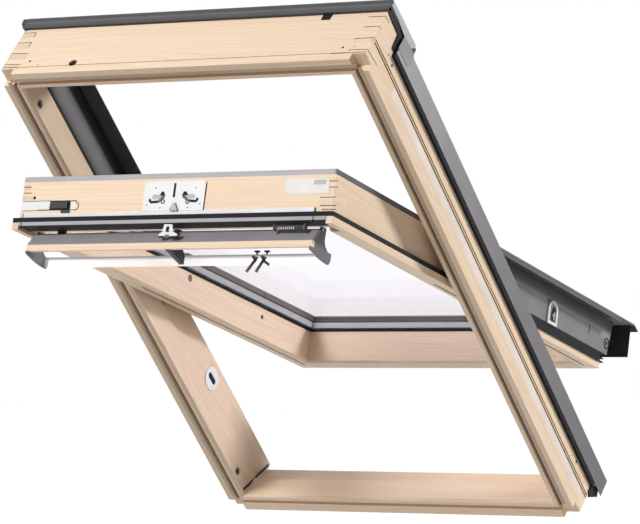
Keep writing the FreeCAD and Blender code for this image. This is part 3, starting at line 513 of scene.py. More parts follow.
# Paint, plastic and rubber. Each row holds a colour, or its stops at places in millimetres; the roughness;
# the fineness of the specks; the specular level; the direction of the stops; and the nodes it covers.
alongFrame = (frameSpace, 1)
throughFrame = (frameSpace, 2)
acrossSash = (sashSpace, 0)
alongSash = (sashSpace, 1)
throughSash = (sashSpace, 2)
paints = {
    # the cladding is painted lighter towards the head and darker down the slope, a painted reflection
    "claddingPaint": (grayStops((0, 0.40), (150, 0.36), (330, 0.28), (620, 0.20), (1180, 0.145)),
                      0.5, 500, 0.3, alongFrame, pair("side_cladding")),
    # the lining: black under the frame's gasket, a painted highlight across the middle, painted shade towards
    # the cover
    "liningPaint": (grayStops((60, 0.008), (72, 0.012), (75, 0.10), (88, 0.19), (104, 0.21), (116, 0.14),
                              (123, 0.05), (140, 0.032)),
                    0.45, 500, 0.12, throughFrame, pair("upper_lining")),
    # the covers are painted far darker than the cladding, as painted shade of their inner sides
    "coverPaint": (gray(0.07), 0.5, 500, 0.2, None, pair("upper_cover")),
    # the hood: dark, with two lighter lines that are painted highlights along its edges
    "hoodPaint": (grayStops((125, 0.055), (130, 0.07), (137, 0.095), (140, 0.15), (141.5, 0.07), (150, 0.062),
                            (152, 0.14), (156, 0.14)),
                  0.5, 500, 0.3, throughFrame, ["head_hood"]),
    # the skirts: lighter in a band at mid height, painted shadow darkening them towards the flange, a painted
    # highlight on the flange's edge
    "skirtPaint": (grayStops((36, 0.22), (58, 0.22), (70, 0.33), (76, 0.42), (82, 0.20), (88, 0.13),
                             (98, 0.10), (103.6, 0.08), (104.2, 0.38), (106, 0.38)),
                   0.5, 500, 0.3, throughSash, pair("sash_skirt")),
    # the foot cover: near-black below its outer skin as painted shade, grey on the skin
    "footPaint": (grayStops((60, 0.034), (102, 0.034), (103, 0.30), (106, 0.30)),
                  0.6, 500, 0.15, throughSash, ["sash_foot_cover"]),
    # the trim: grey along the top rail, near-black along the right stile as painted shade
    "trimPaint": (grayStops((60, 0.46), (720.5, 0.46), (722, 0.035), (740, 0.035)),
                  0.4, 500, 0.4, acrossSash, ["sash_upper_trim"]),
    "flapPaint": (gray(0.285), 0.45, 500, 0.3, None, ["vent_flap"]),
    # black rubber, and also black plates of painted shade: in a slot under the hood, beside the lock plate
    # and under the latch
    "rubberAndShadeBlack": ((0.014, 0.013, 0.015), 0.7, 1200, 0.15, None,
                    pair("frame_seal") + ["glazing_seal", "sash_seal"]),
    # the vent strip: light on its front, dark behind it as painted shade in its recess
    "ventPaint": (grayStops((40, 0.5), (49.2, 0.5), (49.8, 0.07), (120, 0.06)),
                  0.6, 900, 0.02, alongSash, ["vent_strip"]),
    "spacerFoil": ([(60, (0.42, 0.45, 0.47)), (83, (0.42, 0.45, 0.47))]
                   + grayStops((83.6, 0.012), (87.4, 0.012), (88.2, 0.5), (100, 0.5)),
                   0.4, 900, 0.06, throughSash, ["glass_spacer"]),
    "greyPlastic": ((0.165, 0.155, 0.17), 0.5, 1500, 0.3, None, pair("bar_bracket")),
    "darkPlastic": ((0.045, 0.042, 0.048), 0.5, 1500, 0.25, None, ["bar_bracket_middle", "bolt_rod"]),
    "whitePlastic": ((0.88, 0.88, 0.89), 0.4, 1500, 0.5, None,
                     pair("side_plate") + pair("side_catch") + ["bolt_guide", "bar_rod"]),
    "platePaint": ((0.88, 0.87, 0.86), 0.4, 1200, 0.5, None, ["lock_plate"]),
    # a paler band of painted sheen, standing for a reflection on the jambs' outer sides
    "sheenWood": (((25, (0.90, 0.715, 0.535)), (37, (0.90, 0.78, 0.69)), (45, (0.90, 0.80, 0.73)),
                  (48, (0.90, 0.75, 0.60))), 0.5, 300, 0.2, throughFrame, []),
    # dark joint lines, and painted shade in grooves
    "seamAndShadePaint": ((0.115, 0.06, 0.035), 0.8, 1500, 0.1, None, []),
    "silverPaint": ((0.52, 0.52, 0.53), 0.4, 900, 0.3, None, []),
    "capPaint": (gray(0.30), 0.5, 500, 0.3, None, []),
    "darkBrownPaint": ((0.055, 0.045, 0.042), 0.7, 1200, 0.15, None, []),
    "plugPaint": ((0.21, 0.16, 0.125), 0.5, 1500, 0.3, None, []),
    "labelPaper": ((0.93, 0.88, 0.83), 0.6, 900, 0.2, None, []),
}
for name, (color, roughness, fineness, specular, place, covered) in paints.items():
    finishes[name] = speckFinish(name, color, roughness, fineness, specular, place)
    paint(covered, finishes[name])

# The grip is milky and lets some light through, glows faintly as painted light, and its upper edge is dark
grip = {
    "stops": [(-60, (1, 1, 1)), (-42, (1, 1, 1))] + grayStops((-40.8, 0.10), (-37, 0.10)),
    "roughness": 1.0,
    "fineness": 900,
    "specular": 0.5,
    "relief": 0.02,
    "milkAndGlow": {"Transmission Weight": 0.9, "Emission Color": (1, 1, 1), "Emission Strength": 0.22, "IOR": 1.1},
}
milkyGlowingGrip = speckFinish("gripPlastic", grip["stops"], grip["roughness"], grip["fineness"], grip["specular"],
                    throughSash, grip["relief"])
fill(milkyGlowingGrip.node_tree, milkyGlowingGrip.node_tree.nodes["Principled BSDF"], grip["milkAndGlow"])
paint(["handle_bar"], milkyGlowingGrip)
print("finishes given")

# Ways the faces look
headward = (0, -1, 0)
rightward = (1, 0, 0)
leftward = (-1, 0, 0)


# Shapes, in millimetres along the window's own directions
def roundEdges(shape, width):
    bmesh.ops.bevel(shape, geom=list(shape.edges), offset=width, segments=2, profile=0.5,
                    affect="EDGES", material=-1)


def blockShape(low, high, edge=0.0):
    shape = bmesh.new()
    bmesh.ops.create_cube(shape, size=1)
    bmesh.ops.scale(shape, verts=shape.verts, vec=[b - a for a, b in zip(low, high)])
    bmesh.ops.translate(shape, verts=shape.verts, vec=[(b + a) / 2 for a, b in zip(low, high)])
    if edge:
        roundEdges(shape, edge)
    return shape


def faceTurn(up, base):
    # lays a shape made flat on X and Y upon a face that looks along up
    out = Vector(up)
    across = Vector((1, 0, 0)) if abs(out.x) < 0.9 else Vector((0, 1, 0))
    turn = Matrix((across, out.cross(across), out)).transposed().to_4x4()
    return Matrix.Translation(base) @ turn


def lineShape(start, end, up, width, thick):
    # a thin bar between two points on a face that looks along up, half of it proud
    shape = bmesh.new()
    bmesh.ops.create_cube(shape, size=1)
    first = Vector(start)
    along = Vector(end) - first
    out = Vector(up)
    bmesh.ops.scale(shape, verts=shape.verts, vec=(along.length, width, thick))
    turn = Matrix((along.normalized(), out.cross(along.normalized()), out)).transposed().to_4x4()
    bmesh.ops.transform(shape, matrix=Matrix.Translation(first + along / 2) @ turn, verts=shape.verts)
    return shape


def discShape(center, up, radius, thick, dish=0.0, sides=24, deep=1.0):
    # a round head standing on its centre point, with a recess as deep as dish, deep times as high as wide
    shape = bmesh.new()
    bmesh.ops.create_cone(shape, cap_ends=True, segments=sides, radius1=radius, radius2=radius * 0.92,
                          depth=thick)
    bmesh.ops.translate(shape, verts=shape.verts, vec=(0, 0, thick / 2))
    if dish:
        top = max(shape.faces, key=lambda face: face.calc_center_median().z)
        bmesh.ops.inset_region(shape, faces=[top], thickness=radius * 0.4)
        bmesh.ops.translate(shape, verts=top.verts, vec=(0, 0, -dish))
    bmesh.ops.scale(shape, verts=shape.verts, vec=(1, deep, 1))
    bmesh.ops.transform(shape, matrix=faceTurn(up, center), verts=shape.verts)
    return shape


def ringShape(center, up, inner, outer, thick, start=0.0, sweep=2 * pi, steps=28):
    # a flat ring, or a part of one, spun from its section
    shape = bmesh.new()
    places = ((inner, 0, 0), (outer, 0, 0), (outer, 0, thick), (inner, 0, thick))
    corners = [shape.verts.new(place) for place in places]
    whole = sweep > 2 * pi - 0.001
    if whole:
        section = corners + [shape.edges.new((corners[k - 1], corners[k])) for k in range(4)]
    else:
        section = [shape.faces.new(corners)]
    bmesh.ops.spin(shape, geom=section, cent=(0, 0, 0), axis=(0, 0, 1), dvec=(0, 0, 0), angle=sweep,
                   steps=steps, use_merge=whole)
    bmesh.ops.rotate(shape, verts=shape.verts, cent=(0, 0, 0), matrix=Matrix.Rotation(start, 3, "Z"))
    bmesh.ops.transform(shape, matrix=faceTurn(up, center), verts=shape.verts)
    return shape


def plateShape(points, up, base, thick, edge=0.0):
    # a flat plate with the outline of a few points, standing on a face that looks along up
    shape = bmesh.new()
    face = shape.faces.new([shape.verts.new((a, b, 0)) for a, b in points])
    grown = bmesh.ops.extrude_face_region(shape, geom=[face])
    raised = [part for part in grown["geom"] if isinstance(part, bmesh.types.BMVert)]
    bmesh.ops.translate(shape, verts=raised, vec=(0, 0, thick))
    if edge:
        roundEdges(shape, edge)
    bmesh.ops.transform(shape, matrix=faceTurn(up, base), verts=shape.verts)
    return shape


# The same shapes several times over, or on both sides of the window
def blocks(corners, edge=0.0):
    return [blockShape(low, high, edge) for low, high in corners]


def headLines(pairs, y, width, thick):
    return [lineShape((x, y, z), (endX, y, endZ), headward, width, thick) for (x, z), (endX, endZ) in pairs]


def headPlates(outlines, y, thick, edge=0.0):
    return [plateShape(outline, headward, (0, y, 0), thick, edge) for outline in outlines]


def bothSides(x):
    # a place on a face that looks right, and its mirror image on one that looks left
    return ((x, rightward), (window["width"] - x, leftward))


def sideBars(across, along, deep, edge=0.0):
    # a block given by its three spans, and its mirror image
    other = [window["width"] - x for x in reversed(across)]
    return [blockShape(*zip(span, along, deep), edge) for span in (across, other)]


def sidePlates(outline, proud, thick):
    # a plate outside each jamb, as far from its outer face as proud says
    places = (window["width"] + proud, -proud - thick)
    return [plateShape(outline, rightward, (x, 0, 0), thick) for x in places]


def joined(parts):
    shape = bmesh.new()
    for part in parts:
        spare = bpy.data.meshes.new("spare")
        part.to_mesh(spare)
        part.free()
        shape.from_mesh(spare)
        bpy.data.meshes.remove(spare)
    return shape


def addPiece(name, shapes, space, body, finish):
    shape = joined(shapes)
    bmesh.ops.transform(shape, matrix=space, verts=shape.verts)
    bmesh.ops.recalc_face_normals(shape, faces=shape.faces)
    mesh = bpy.data.meshes.new(name)
    shape.to_mesh(mesh)
    shape.free()
    mesh.materials.append(finishes[finish])
    piece = bpy.data.objects.new(name, mesh)
    bpy.context.collection.objects.link(piece)
    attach(piece, body)


def addToFrame(name, shapes, finish):
    addPiece(name, shapes, frameSpace, "frame", finish)


def addToSash(name, shapes, finish, body="sash"):
    addPiece(name, shapes, sashSpace, body, finish)


# Finger joints at the frame's upper corners: lines on the head's face, then on the right jamb's side
frameJoints = {
    "width": 1.3,
    "thick": 0.4,
    "headFace": -0.05,
    "sideFace": 780.05,
    "onHead": (((745.5, 114.2), (780, 113.6)), ((747.6, 86.9), (780, 86.8)), ((738.7, 55.5), (780, 56.3)),
               ((739.5, 25.3), (780, 24.5)), ((705.9, 17.3), (780, 17.8)), ((0.9, 118.3), (28.2, 117.6)),
               ((28.2, 117.6), (29.8, 105.6)), ((0.4, 89.7), (31.2, 89.6)), ((31.2, 89.6), (31.1, 77.1)),
               ((0.4, 60.1), (40.6, 57.9)), ((0.4, 29.6), (35.9, 27.5)), ((0.4, 20.9), (37.4, 18.7))),
    "onSide": (((0, 113.7), (15.3, 114.5)), ((0, 83.5), (7.1, 84.6)), ((0, 55.2), (8, 56.5)),
               ((0, 23.6), (40.6, 29.1))),
}


def frameJointLines():
    width = frameJoints["width"]
    thick = frameJoints["thick"]
    x = frameJoints["sideFace"]
    parts = headLines(frameJoints["onHead"], frameJoints["headFace"], width, thick)
    for start, end in frameJoints["onSide"]:
        parts.append(lineShape((x, *start), (x, *end), rightward, width, thick))
    return parts


addToFrame("frame_joint_lines", frameJointLines(), "seamAndShadePaint")

# Shadow lines in the grooves down the jambs' outer sides: the level and the width of each
sideGrooves = {
    "lines": ((51.6, 2.6), (58.0, 1.8)),
    "from": 8,
    "to": 1177,
    "face": 780.05,
    "thick": 0.4,
}


def grooveLines():
    parts = []
    for level, width in sideGrooves["lines"]:
        for x, up in bothSides(sideGrooves["face"]):
            start = (x, sideGrooves["from"], level)
            end = (x, sideGrooves["to"], level)
            parts.append(lineShape(start, end, up, width, sideGrooves["thick"]))
    return parts


addToFrame("side_groove_lines", grooveLines(), "seamAndShadePaint")

# Painted shade in the lining grooves of the room face: dark bottoms in the grooves, and a darker strip of
# that face outside each groove and along the head, standing for the shade beside the grooves
liningGrooves = {
    "bottoms": {"across": (20.4, 27.6), "along": (30, 1150), "deep": (6.2, 9.2), "edge": 0.3},
    "shades": (((12.4, 20, -0.4), (20, 1140, 0.6)), ((760, 20, -0.4), (768, 1140, 0.6)),
               ((20, 12.4, -0.4), (760, 20, 0.6))),
}
addToFrame("groove_bottoms", sideBars(**liningGrooves["bottoms"]), "seamAndShadePaint")
addToFrame("groove_shades", blocks(liningGrooves["shades"]), "pineShade")

# Painted sheen: a paler band down each jamb's outer side, standing for a reflection on the wood
sheenBand = {
    "across": (779.7, 780.2),
    "along": (110, 1150),
    "deep": (25, 48),
}
addToFrame("side_sheen_bands", sideBars(**sheenBand), "sheenWood")

# Fixing holes in the jambs: pine plugs over their outer ends, and a washer, a thin rim and a dark core at
# their inner ends
fixingHoles = {
    "along": (92, 1086),
    "level": 20,
    "plugFace": 779.2,
    "plug": {"radius": 4.6, "thick": 1.0},
    "washerFace": 34.1,
    "washer": {"inner": 4.6, "outer": 7.4, "thick": 3.0},
    "rimFace": 34.3,
    "rim": {"inner": 7.4, "outer": 8.6, "thick": 2.9},
    "core": {"radius": 4.6, "thick": 1.6},
}


def holePlaces(face):
    x = fixingHoles[face]
    return [((side, y, fixingHoles["level"]), up) for y in fixingHoles["along"] for side, up in bothSides(x)]


def sidePlugs():
    return [discShape(place, up, **fixingHoles["plug"]) for place, up in holePlaces("plugFace")]


def holeWashers():
    return [ringShape(place, up, **fixingHoles["washer"]) for place, up in holePlaces("washerFace")]


def holeRims():
    parts = []
    for place, up in holePlaces("rimFace"):
        parts.append(ringShape(place, up, **fixingHoles["rim"]))
        parts.append(discShape(place, up, **fixingHoles["core"]))
    return parts


addToFrame("side_plugs", sidePlugs(), "pinePlug")

# Screws and nails of the frame: places on the head's face and on the jambs' outer sides, with their radii
frameScrews = {
    "bigHead": {"center": (155, 5.9, 25), "up": headward, "radius": 7.6, "thick": 3.2, "dish": 1.6},
    "onHead": ((725.9, 32.8, 2.4), (54.5, 35.3, 2.4), (748.6, 34.4, 1.2), (76.8, 24.2, 1.2)),
    "onSides": ((77.2, 69.2, 3.0), (55.5, 73.0, 1.6), (1098.6, 72.2, 3.0), (1074.5, 66.0, 1.4)),
    "sunk": 0.05,
    "thick": 0.4,
}


def darkScrews():
    sunk = frameScrews["sunk"]
    thick = frameScrews["thick"]
    parts = [discShape(**frameScrews["bigHead"])]
    for x, w, radius in frameScrews["onHead"]:
        parts.append(discShape((x, sunk, w), headward, radius, thick))
    for y, w, radius in frameScrews["onSides"]:
        for x, up in bothSides(window["width"] - sunk):
            parts.append(discShape((x, y, w), up, radius, thick))
    return parts


addToFrame("frame_screws", darkScrews(), "rubberAndShadeBlack")
addToFrame("hole_washers", holeWashers(), "greyPlastic")
addToFrame("hole_rims", holeRims(), "rubberAndShadeBlack")

# Dark line along the joint of the sill and each jamb
sillJointLine = {
    "start": (1163, 110),
    "end": (1127.6, 8.5),
    "width": 4.6,
    "sides": ((40.2, rightward, 1.6), (740, leftward, 0.6)),
}


def sillJointLines():
    return [lineShape((x, *sillJointLine["start"]), (x, *sillJointLine["end"]), up, sillJointLine["width"], thick)
            for x, up, thick in sillJointLine["sides"]]


addToFrame("sill_joint_lines", sillJointLines(), "darkBrownPaint")

# Black seal at the head's corners and the feet of the side seals, on the jambs' outer sides
cornerSeal = {
    "corner": ((1.3, 125.3), (25.8, 123.2), (50.0, 122.4), (53.4, 89.2), (92.4, 94.9), (120, 98),
               (120, 106.1), (70.7, 103.9), (62.3, 131.5), (5.4, 143.7)),
    "foot": ((1174, 67), (1182, 57), (1209.1, 83.0), (1202.5, 98.5), (1189, 97), (1187, 90), (1174, 88)),
    "thick": 2.0,
}
addToFrame("corner_seals", sidePlates(cornerSeal["corner"], 0, cornerSeal["thick"])
           + sidePlates(cornerSeal["foot"], 0, cornerSeal["thick"]), "rubberAndShadeBlack")

# The hood's light cheek strips, the dark hooks at their lower ends, the caps on the side cladding below them,
# the fold at the hood's left end, and a black plate under it, painted shade in a slot there
hoodEnds = {
    "strip": {
        "outline": ((-2.4, 140.2), (31.3, 139.6), (69.5, 134.9), (98, 136.5), (104, 139), (105.5, 155.5),
                    (-2.4, 151.5)),
        "proud": 3.1,
        "thick": 0.8,
    },
    "hook": {
        "outline": ((93.0, 134.7), (98, 128), (107.9, 98.9), (109, 118), (106.7, 131.3), (106, 150),
                    (98, 139)),
        "proud": 3.1,
        "thick": 1.2,
    },
    "cap": {
        "outline": ((61, 129.5), (91.9, 131.9), (108.7, 130.8), (111.6, 107.0), (104, 97.5), (61.3, 98.1)),
        "proud": 8.05,
        "thick": 0.6,
    },
    "fold": {
        "outlines": (((-12.5, 139.0), (-14.1, 151.7), (2, 151.7), (2, 122), (-4, 126)),),
        "y": -3.5,
        "thick": 2.4,
    },
    "slotShade": {
        "outlines": (((648, 112), (666, 111.5), (668, 128), (664, 133), (648, 134)),),
        "y": 0,
        "thick": 1.0,
    },
}
addToFrame("hood_cheek_strips", sidePlates(**hoodEnds["strip"]), "silverPaint")
addToFrame("hood_hooks", sidePlates(**hoodEnds["hook"]), "darkPlastic")
addToFrame("cladding_caps", sidePlates(**hoodEnds["cap"]), "capPaint")
addToFrame("hood_end_fold", headPlates(**hoodEnds["fold"]), "darkPlastic")
addToFrame("head_slot_shade", headPlates(**hoodEnds["slotShade"]), "rubberAndShadeBlack")
print("frame details added")

# Finger joints at the sash's upper corners, on the top rail's face, and a screw beside them
sashJoints = {
    "pairs": (((57.5, 83.0), (74.3, 82.6)), ((58.4, 71.7), (76.2, 71.3)), ((709.5, 79.6), (727.9, 79.1)),
              ((711, 68.5), (729.4, 68.1)), ((695.3, 50), (727.9, 49.9)), ((697.4, 34.8), (730, 34.5)),
              ((702.4, 28), (731, 27.4))),
    "y": 56.95,
    "width": 1.3,
    "thick": 0.4,
}
railScrew = {"center": (84.1, 57.05, 62.0), "up": headward, "radius": 3.0, "thick": 0.5}
addToSash("sash_joint_lines", headLines(**sashJoints), "seamAndShadePaint")
addToSash("rail_screw", [discShape(**railScrew)], "rubberAndShadeBlack")

# White weather strip along the foot of the top rail's face, and black ticks at its ends
railStrip = {
    "strip": {"low": (66, 54.8, 23.4), "high": (688, 57.2, 30.8), "edge": 0.6},
    "ticks": (((64.8, 54.4, 22.9), (66.4, 57.1, 31.3)), ((688, 54.4, 22.9), (689.6, 57.1, 31.3)),
              ((68.5, 46.6, 1.0), (70.3, 48.8, 12.5)), ((691.5, 46.6, 1.0), (693.3, 48.8, 12.5))),
    "tickEdge": 0.3,
}
addToSash("rail_strip", [blockShape(**railStrip["strip"])], "whitePlastic")
addToSash("strip_ends", blocks(railStrip["ticks"], railStrip["tickEdge"]), "rubberAndShadeBlack")

# Barrel bolt: the white cover over the rod, the fixed white end and the dark lines round them
boltCover = {
    "cover": {"low": (95.5, 54.4, 39.4), "high": (122, 56.2, 53.6), "edge": 0.5},
    "legs": (((95.5, 54.4, 38.4), (122, 57, 39.6)), ((95.5, 54.4, 53.4), (122, 57, 54.6))),
    "legEdge": 0.3,
    "end": {"low": (165, 58, 38.4), "high": (177.6, 69.5, 54.6), "edge": 0.8},
    "arc": {"center": (176.3, 57.0, 44.8), "up": headward, "inner": 7.2, "outer": 8.6, "thick": 0.4,
            "start": -pi / 2, "sweep": pi, "steps": 14},
    "lines": (((95, 54.0, 54.4), (123, 57.05, 55.2)), ((61, 56.6, 54.9), (178, 57.05, 55.6)),
              ((61, 56.6, 37.2), (178, 57.05, 37.9))),
}
addToSash("bolt_cover", [blockShape(**boltCover["cover"])] + blocks(boltCover["legs"], boltCover["legEdge"]),
          "whitePlastic")
addToSash("bolt_end", [blockShape(**boltCover["end"])], "whitePlastic")
addToSash("bolt_end_line", [ringShape(**boltCover["arc"])] + blocks(boltCover["lines"]),
          "seamAndShadePaint")

# Lock plate: its slot, curved hook slots with a lever in each, screws, rivets, the bed of the latch's
# tongue, and the shadow beside the plate
lockFace = {
    "plane": 55.05,
    "slot": ((387.6, 56.2), (392.4, 56.2), (391.6, 82.5), (387.9, 82.5)),
    "slotSet": {"y": 55.05, "thick": 0.4},
    "leftHook": (((338.6, 53.7), (341.7, 47.6)), ((341.7, 47.6), (358.8, 48.6)),
                 ((358.8, 48.6), (369.5, 58.5)), ((369.5, 58.5), (365.4, 66.6)), ((365.4, 66.6), (362, 60))),
    "rightHook": (((441.9, 53.8), (439, 47.6)), ((439, 47.6), (421.5, 49.5)), ((421.5, 49.5), (409.5, 58)),
                  ((409.5, 58), (413, 66)), ((413, 66), (417.5, 60))),
    "hookLine": {"y": 54.95, "width": 4.6, "thick": 0.7},
    "leverAt": 2,
    "leverLine": {"y": 54.6, "width": 2.4, "thick": 0.8},
    "screws": ((333.6, 42.6), (363.4, 36.8), (422.2, 36.2), (447.6, 43.2), (434.4, 73.2), (348.8, 74.6)),
    "screw": {"radius": 1.3, "thick": 0.4, "sides": 12},
    "rivets": ((368, 48.4), (420.5, 47.3)),
    "rivet": {"inner": 2.2, "outer": 4.6, "thick": 0.5, "steps": 20},
    "shade": ((455.2, 31.5), (456.6, 31.5), (456.6, 84), (455.2, 84)),
    "shadeSet": {"y": 57.0, "thick": 0.5},
    "tongueBed": ((384, 30.5), (405, 30.5), (401, 37), (397, 45.5), (390, 45.5), (386, 38)),
    "tongueBedSet": {"y": 55.0, "thick": 0.5},
}


def lockDark():
    lock = lockFace
    parts = headPlates([lock["slot"]], **lock["slotSet"])
    parts += headLines(lock["leftHook"] + lock["rightHook"], **lock["hookLine"])
    for x, d in lock["screws"]:
        parts.append(discShape((x, lock["plane"], d), headward, **lock["screw"]))
    return parts + headPlates([lock["shade"]], **lock["shadeSet"])


def lockGrey():
    lock = lockFace
    parts = [ringShape((x, lock["plane"], d), headward, **lock["rivet"]) for x, d in lock["rivets"]]
    levers = [lock[side][lock["leverAt"]] for side in ("leftHook", "rightHook")]
    parts += headLines(levers, **lock["leverLine"])
    return parts + headPlates([lock["tongueBed"]], **lock["tongueBedSet"])


addToSash("lock_slots", lockDark(), "rubberAndShadeBlack")
addToSash("lock_rivets", lockGrey(), "greyPlastic")

# Latch: its tongue on the lock plate with an eye, and the bracket that hangs across the ventilation gap
latch = {
    "tongue": ((387, 30), (403.1, 30), (399.5, 37), (396, 44.5), (391, 44.5), (388, 38)),
    "tongueSet": {"y": 54.6, "thick": 3.2, "edge": 0.7},
    "eye": {"center": (388.5, 53.2, 34), "up": headward, "radius": 2.4, "thick": 1.4, "dish": 0.6,
            "sides": 14},
    "legs": (((383.3, 3.5), (389.5, 3.5), (387.5, -19), (373.2, -17.7), (374, -14), (381, -11)),
             ((400.7, 3.2), (394.5, 3.2), (396.5, -19), (414.5, -18.4), (413, -14.5), (404, -11))),
    "legSet": {"y": 48.4, "thick": 2.2, "edge": 0.5},
    "bridges": (((384, 45.8, -1), (400, 48.2, 3.4)), ((386, 46.4, -16), (398, 48.3, -11))),
    "bridgeEdge": 0.6,
    "shadows": (((371, -12.5), (381, -12), (386, -21.5), (374, -20.5)),
                ((403, -9), (413, -8), (417, -15), (410, -21.5), (399, -21.5))),
    "shadowSet": {"y": 49.2, "thick": 1.2},
    "hole": {"center": (392, 46.2, -6), "up": headward, "radius": 3.4, "thick": 1.2, "dish": 0.5,
             "sides": 16},
}
addToSash("latch_tongue", headPlates([latch["tongue"]], **latch["tongueSet"]), "silverPaint")
addToSash("latch_eye", [discShape(**latch["eye"])], "rubberAndShadeBlack")
addToSash("latch_bracket", headPlates(latch["legs"], **latch["legSet"])
          + blocks(latch["bridges"], latch["bridgeEdge"]), "whitePlastic")
addToSash("latch_shadow", headPlates(latch["shadows"], **latch["shadowSet"]) + [discShape(**latch["hole"])],
          "rubberAndShadeBlack")

# Bare plate on the top rail, with one plain field
label = {
    "plate": ((619.4, 85.4), (709.8, 85.0), (713.3, 57.5), (623.5, 56.7)),
    "plateSet": {"y": 57.0, "thick": 0.5},
    "field": ((680, 73.8), (704, 73.8), (704, 82.2), (680, 82.2)),
    "fieldSet": {"y": 56.5, "thick": 0.3},
}
addToSash("label_plate", headPlates([label["plate"]], **label["plateSet"]), "labelPaper")
addToSash("label_corner", headPlates([label["field"]], **label["fieldSet"]), "silverPaint")

# What shows through the lock plate's two hook slots, and the bolt's tail that slides with the rod
lockInside = {
    "backs": (((342.5, 55.6, 51.8), (371.5, 56.8, 62.2)), ((408.5, 55.6, 51.8), (437.5, 56.8, 62.2))),
    "backEdge": 0.3,
    "tail": {"low": (147.4, 54.6, 31.4), "high": (166, 56.9, 37.4), "edge": 0.6},
}
addToSash("lock_backs", blocks(lockInside["backs"], lockInside["backEdge"]), "silverPaint")
addToSash("bolt_tail", [blockShape(**lockInside["tail"])], "darkPlastic", "bolt")
print("top rail details added")

# Fittings on the two skirts, and the ends of the gasket's fins
skirtFittings = {
    "face": 735,
    "corePlace": (907, 50.5),
    "core": {"radius": 11.5, "thick": 0.6, "deep": 1.55},
    "hookPlace": (1055, 65),
    "hook": {"inner": 8.2, "outer": 10.0, "thick": 0.6, "start": -1.1, "sweep": 2.2, "steps": 12},
    "ringPlace": (1143, 54.2),
    "ring": {"inner": 9.0, "outer": 11.2, "thick": 1.0},
    "stud": {"radius": 3.0, "thick": 1.0, "dish": 0.4, "sides": 14},
    "spotPlace": (878.6, 76),
    "spot": {"radius": 2.6, "thick": 0.5, "sides": 14},
    "finLevels": (30.8, 21.8, 14.4),
    "finInset": (0.5, 8),
    "finAlong": (1124, 1139),
    "finHalf": 1.1,
    "finEdge": 0.4,
}


def skirtDark():
    fit = skirtFittings
    parts = []
    for x, up in bothSides(fit["face"]):
        parts.append(discShape((x, *fit["corePlace"]), up, **fit["core"]))
        parts.append(ringShape((x, *fit["hookPlace"]), up, **fit["hook"]))
        parts.append(ringShape((x, *fit["ringPlace"]), up, **fit["ring"]))
        parts.append(discShape((x, *fit["ringPlace"]), up, **fit["stud"]))
        parts.append(discShape((x, *fit["spotPlace"]), up, **fit["spot"]))
        across = sorted(x - inset * up[0] for inset in fit["finInset"])
        for level in fit["finLevels"]:
            deep = (level - fit["finHalf"], level + fit["finHalf"])
            parts.append(blockShape(*zip(across, fit["finAlong"], deep), fit["finEdge"]))
    return parts


# Cross in the middle of each side catch
catchCross = {
    "face": 735.7,
    "center": (907, 50.5),
    "along": (-6, 6),
    "deep": (-9, 7),
    "width": 2.6,
    "thick": 1.0,
}


def catchCrosses():
    parts = []
    y, d = catchCross["center"]
    width = catchCross["width"]
    thick = catchCross["thick"]
    for x, up in bothSides(catchCross["face"]):
        first, last = (y + shift for shift in catchCross["along"])
        low, high = (d + shift for shift in catchCross["deep"])
        parts.append(lineShape((x, first, d), (x, last, d), up, width, thick))
        parts.append(lineShape((x, y, low), (x, y, high), up, width, thick))
    return parts


addToSash("skirt_fittings", skirtDark(), "rubberAndShadeBlack")
addToSash("catch_crosses", catchCrosses(), "whitePlastic")

# A plug with a dark ring, and a screw, on each stile's inner face
stileMarks = {
    "face": 85,
    "plugPlace": (607, 54),
    "plug": {"radius": 5.6, "thick": 0.8, "dish": 0.5},
    "ring": {"inner": 5.6, "outer": 7.0, "thick": 0.4},
    "screwPlace": (888, 47),
    "screw": {"radius": 4.6, "thick": 0.6, "dish": 0.3, "sides": 16},
}


def stilePlugs():
    sides = bothSides(stileMarks["face"])
    return [discShape((x, *stileMarks["plugPlace"]), up, **stileMarks["plug"]) for x, up in sides]


def stileScrews():
    parts = []
    for x, up in bothSides(stileMarks["face"]):
        parts.append(discShape((x, *stileMarks["screwPlace"]), up, **stileMarks["screw"]))
        parts.append(ringShape((x, *stileMarks["plugPlace"]), up, **stileMarks["ring"]))
    return parts


addToSash("stile_plugs", stilePlugs(), "plugPaint")
addToSash("stile_screws", stileScrews(), "darkBrownPaint")

# Black block behind each side plate's slot, so that the slot shows black
plateCore = {
    "across": (31.4, 32.6),
    "along": (875.8, 906.2),
    "deep": (83.8, 96.2),
    "edge": 0.2,
}
addToFrame("plate_cores", sideBars(**plateCore), "rubberAndShadeBlack")

# Painted shade: a dark line along each stile's room face, where a groove runs
stileGrooveShade = {
    "across": (67.5, 70.5),
    "along": (470, 1102),
    "deep": (-0.3, 0.3),
}
addToSash("stile_groove_shades", sideBars(**stileGrooveShade), "seamAndShadePaint")

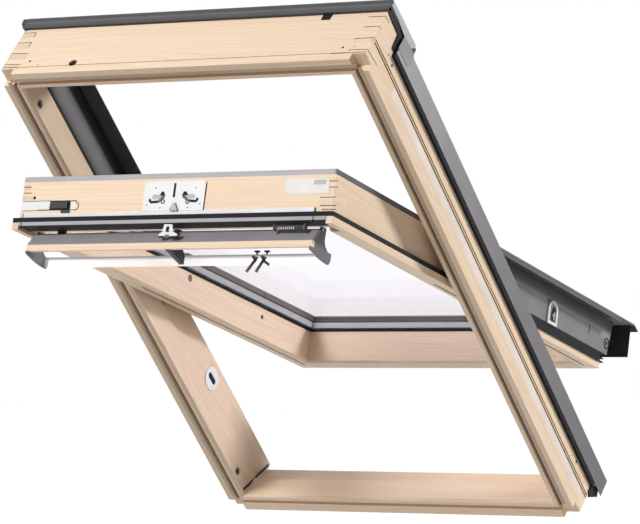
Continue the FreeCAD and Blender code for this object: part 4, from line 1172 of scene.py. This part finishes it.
# Spring of the flap, a short coil along the rod between two cheeks
flapSpring = {
    "from": 611,
    "to": 672,
    "center": (57.5, -4.5),
    "radius": 4.6,
    "wire": 1.5,
    "turns": 14,
    "steps": 18,
    "cheekHalf": 5.5,
    "cheekWide": 2,
    "cheekEdge": 0.5,
}


def springCoils():
    spring = flapSpring
    y, d = spring["center"]
    half = spring["cheekHalf"]
    spacing = (spring["to"] - spring["from"]) / spring["turns"]
    parts = []
    for turn in range(spring["turns"]):
        x = spring["from"] + spacing * (turn + 0.5)
        parts.append(ringShape((x, y, d), rightward, spring["radius"] - spring["wire"], spring["radius"],
                               spring["wire"], steps=spring["steps"]))
    for x in (spring["from"] - spring["cheekWide"], spring["to"]):
        parts.append(blockShape((x, y - half, d - half), (x + spring["cheekWide"], y + half, d + half),
                                spring["cheekEdge"]))
    return parts


addToSash("flap_spring", springCoils(), "greyPlastic", "control_bar")

# Handle: two forked clips that grip it, and two pins above its upper edge
handleClips = {
    "arms": (((540.1, -41.2), (547, -50)), ((549.0, -43.0), (545, -52)), ((546, -49), (530.5, -70.5)),
             ((558.9, -41.4), (565, -50)), ((567, -43), (562, -53)), ((563.5, -49), (550.5, -71)),
             ((562, -49), (576.2, -58))),
    "armLine": {"y": 107.6, "width": 4.8, "thick": 2.6},
    "pins": (543.8, 564.3),
    "pinPlace": (115.0, -38.2),
    "pin": {"radius": 1.8, "thick": 6.4, "sides": 14},
    "footHalf": (5.5, 2.6),
    "footDeep": (-32.6, -29.4),
    "footEdge": 1.2,
}


def clipPins():
    clips = handleClips
    y, d = clips["pinPlace"]
    wide, long = clips["footHalf"]
    low, high = clips["footDeep"]
    parts = []
    for x in clips["pins"]:
        parts.append(discShape((x, y, d), (0, 0, 1), **clips["pin"]))
        parts.append(blockShape((x - wide, y - long, low), (x + wide, y + long, high), clips["footEdge"]))
    return parts


addToSash("handle_clips", headLines(handleClips["arms"], **handleClips["armLine"]), "greyPlastic",
          "control_bar")
addToSash("handle_pins", clipPins(), "rubberAndShadeBlack", "control_bar")
print("control bar details added")
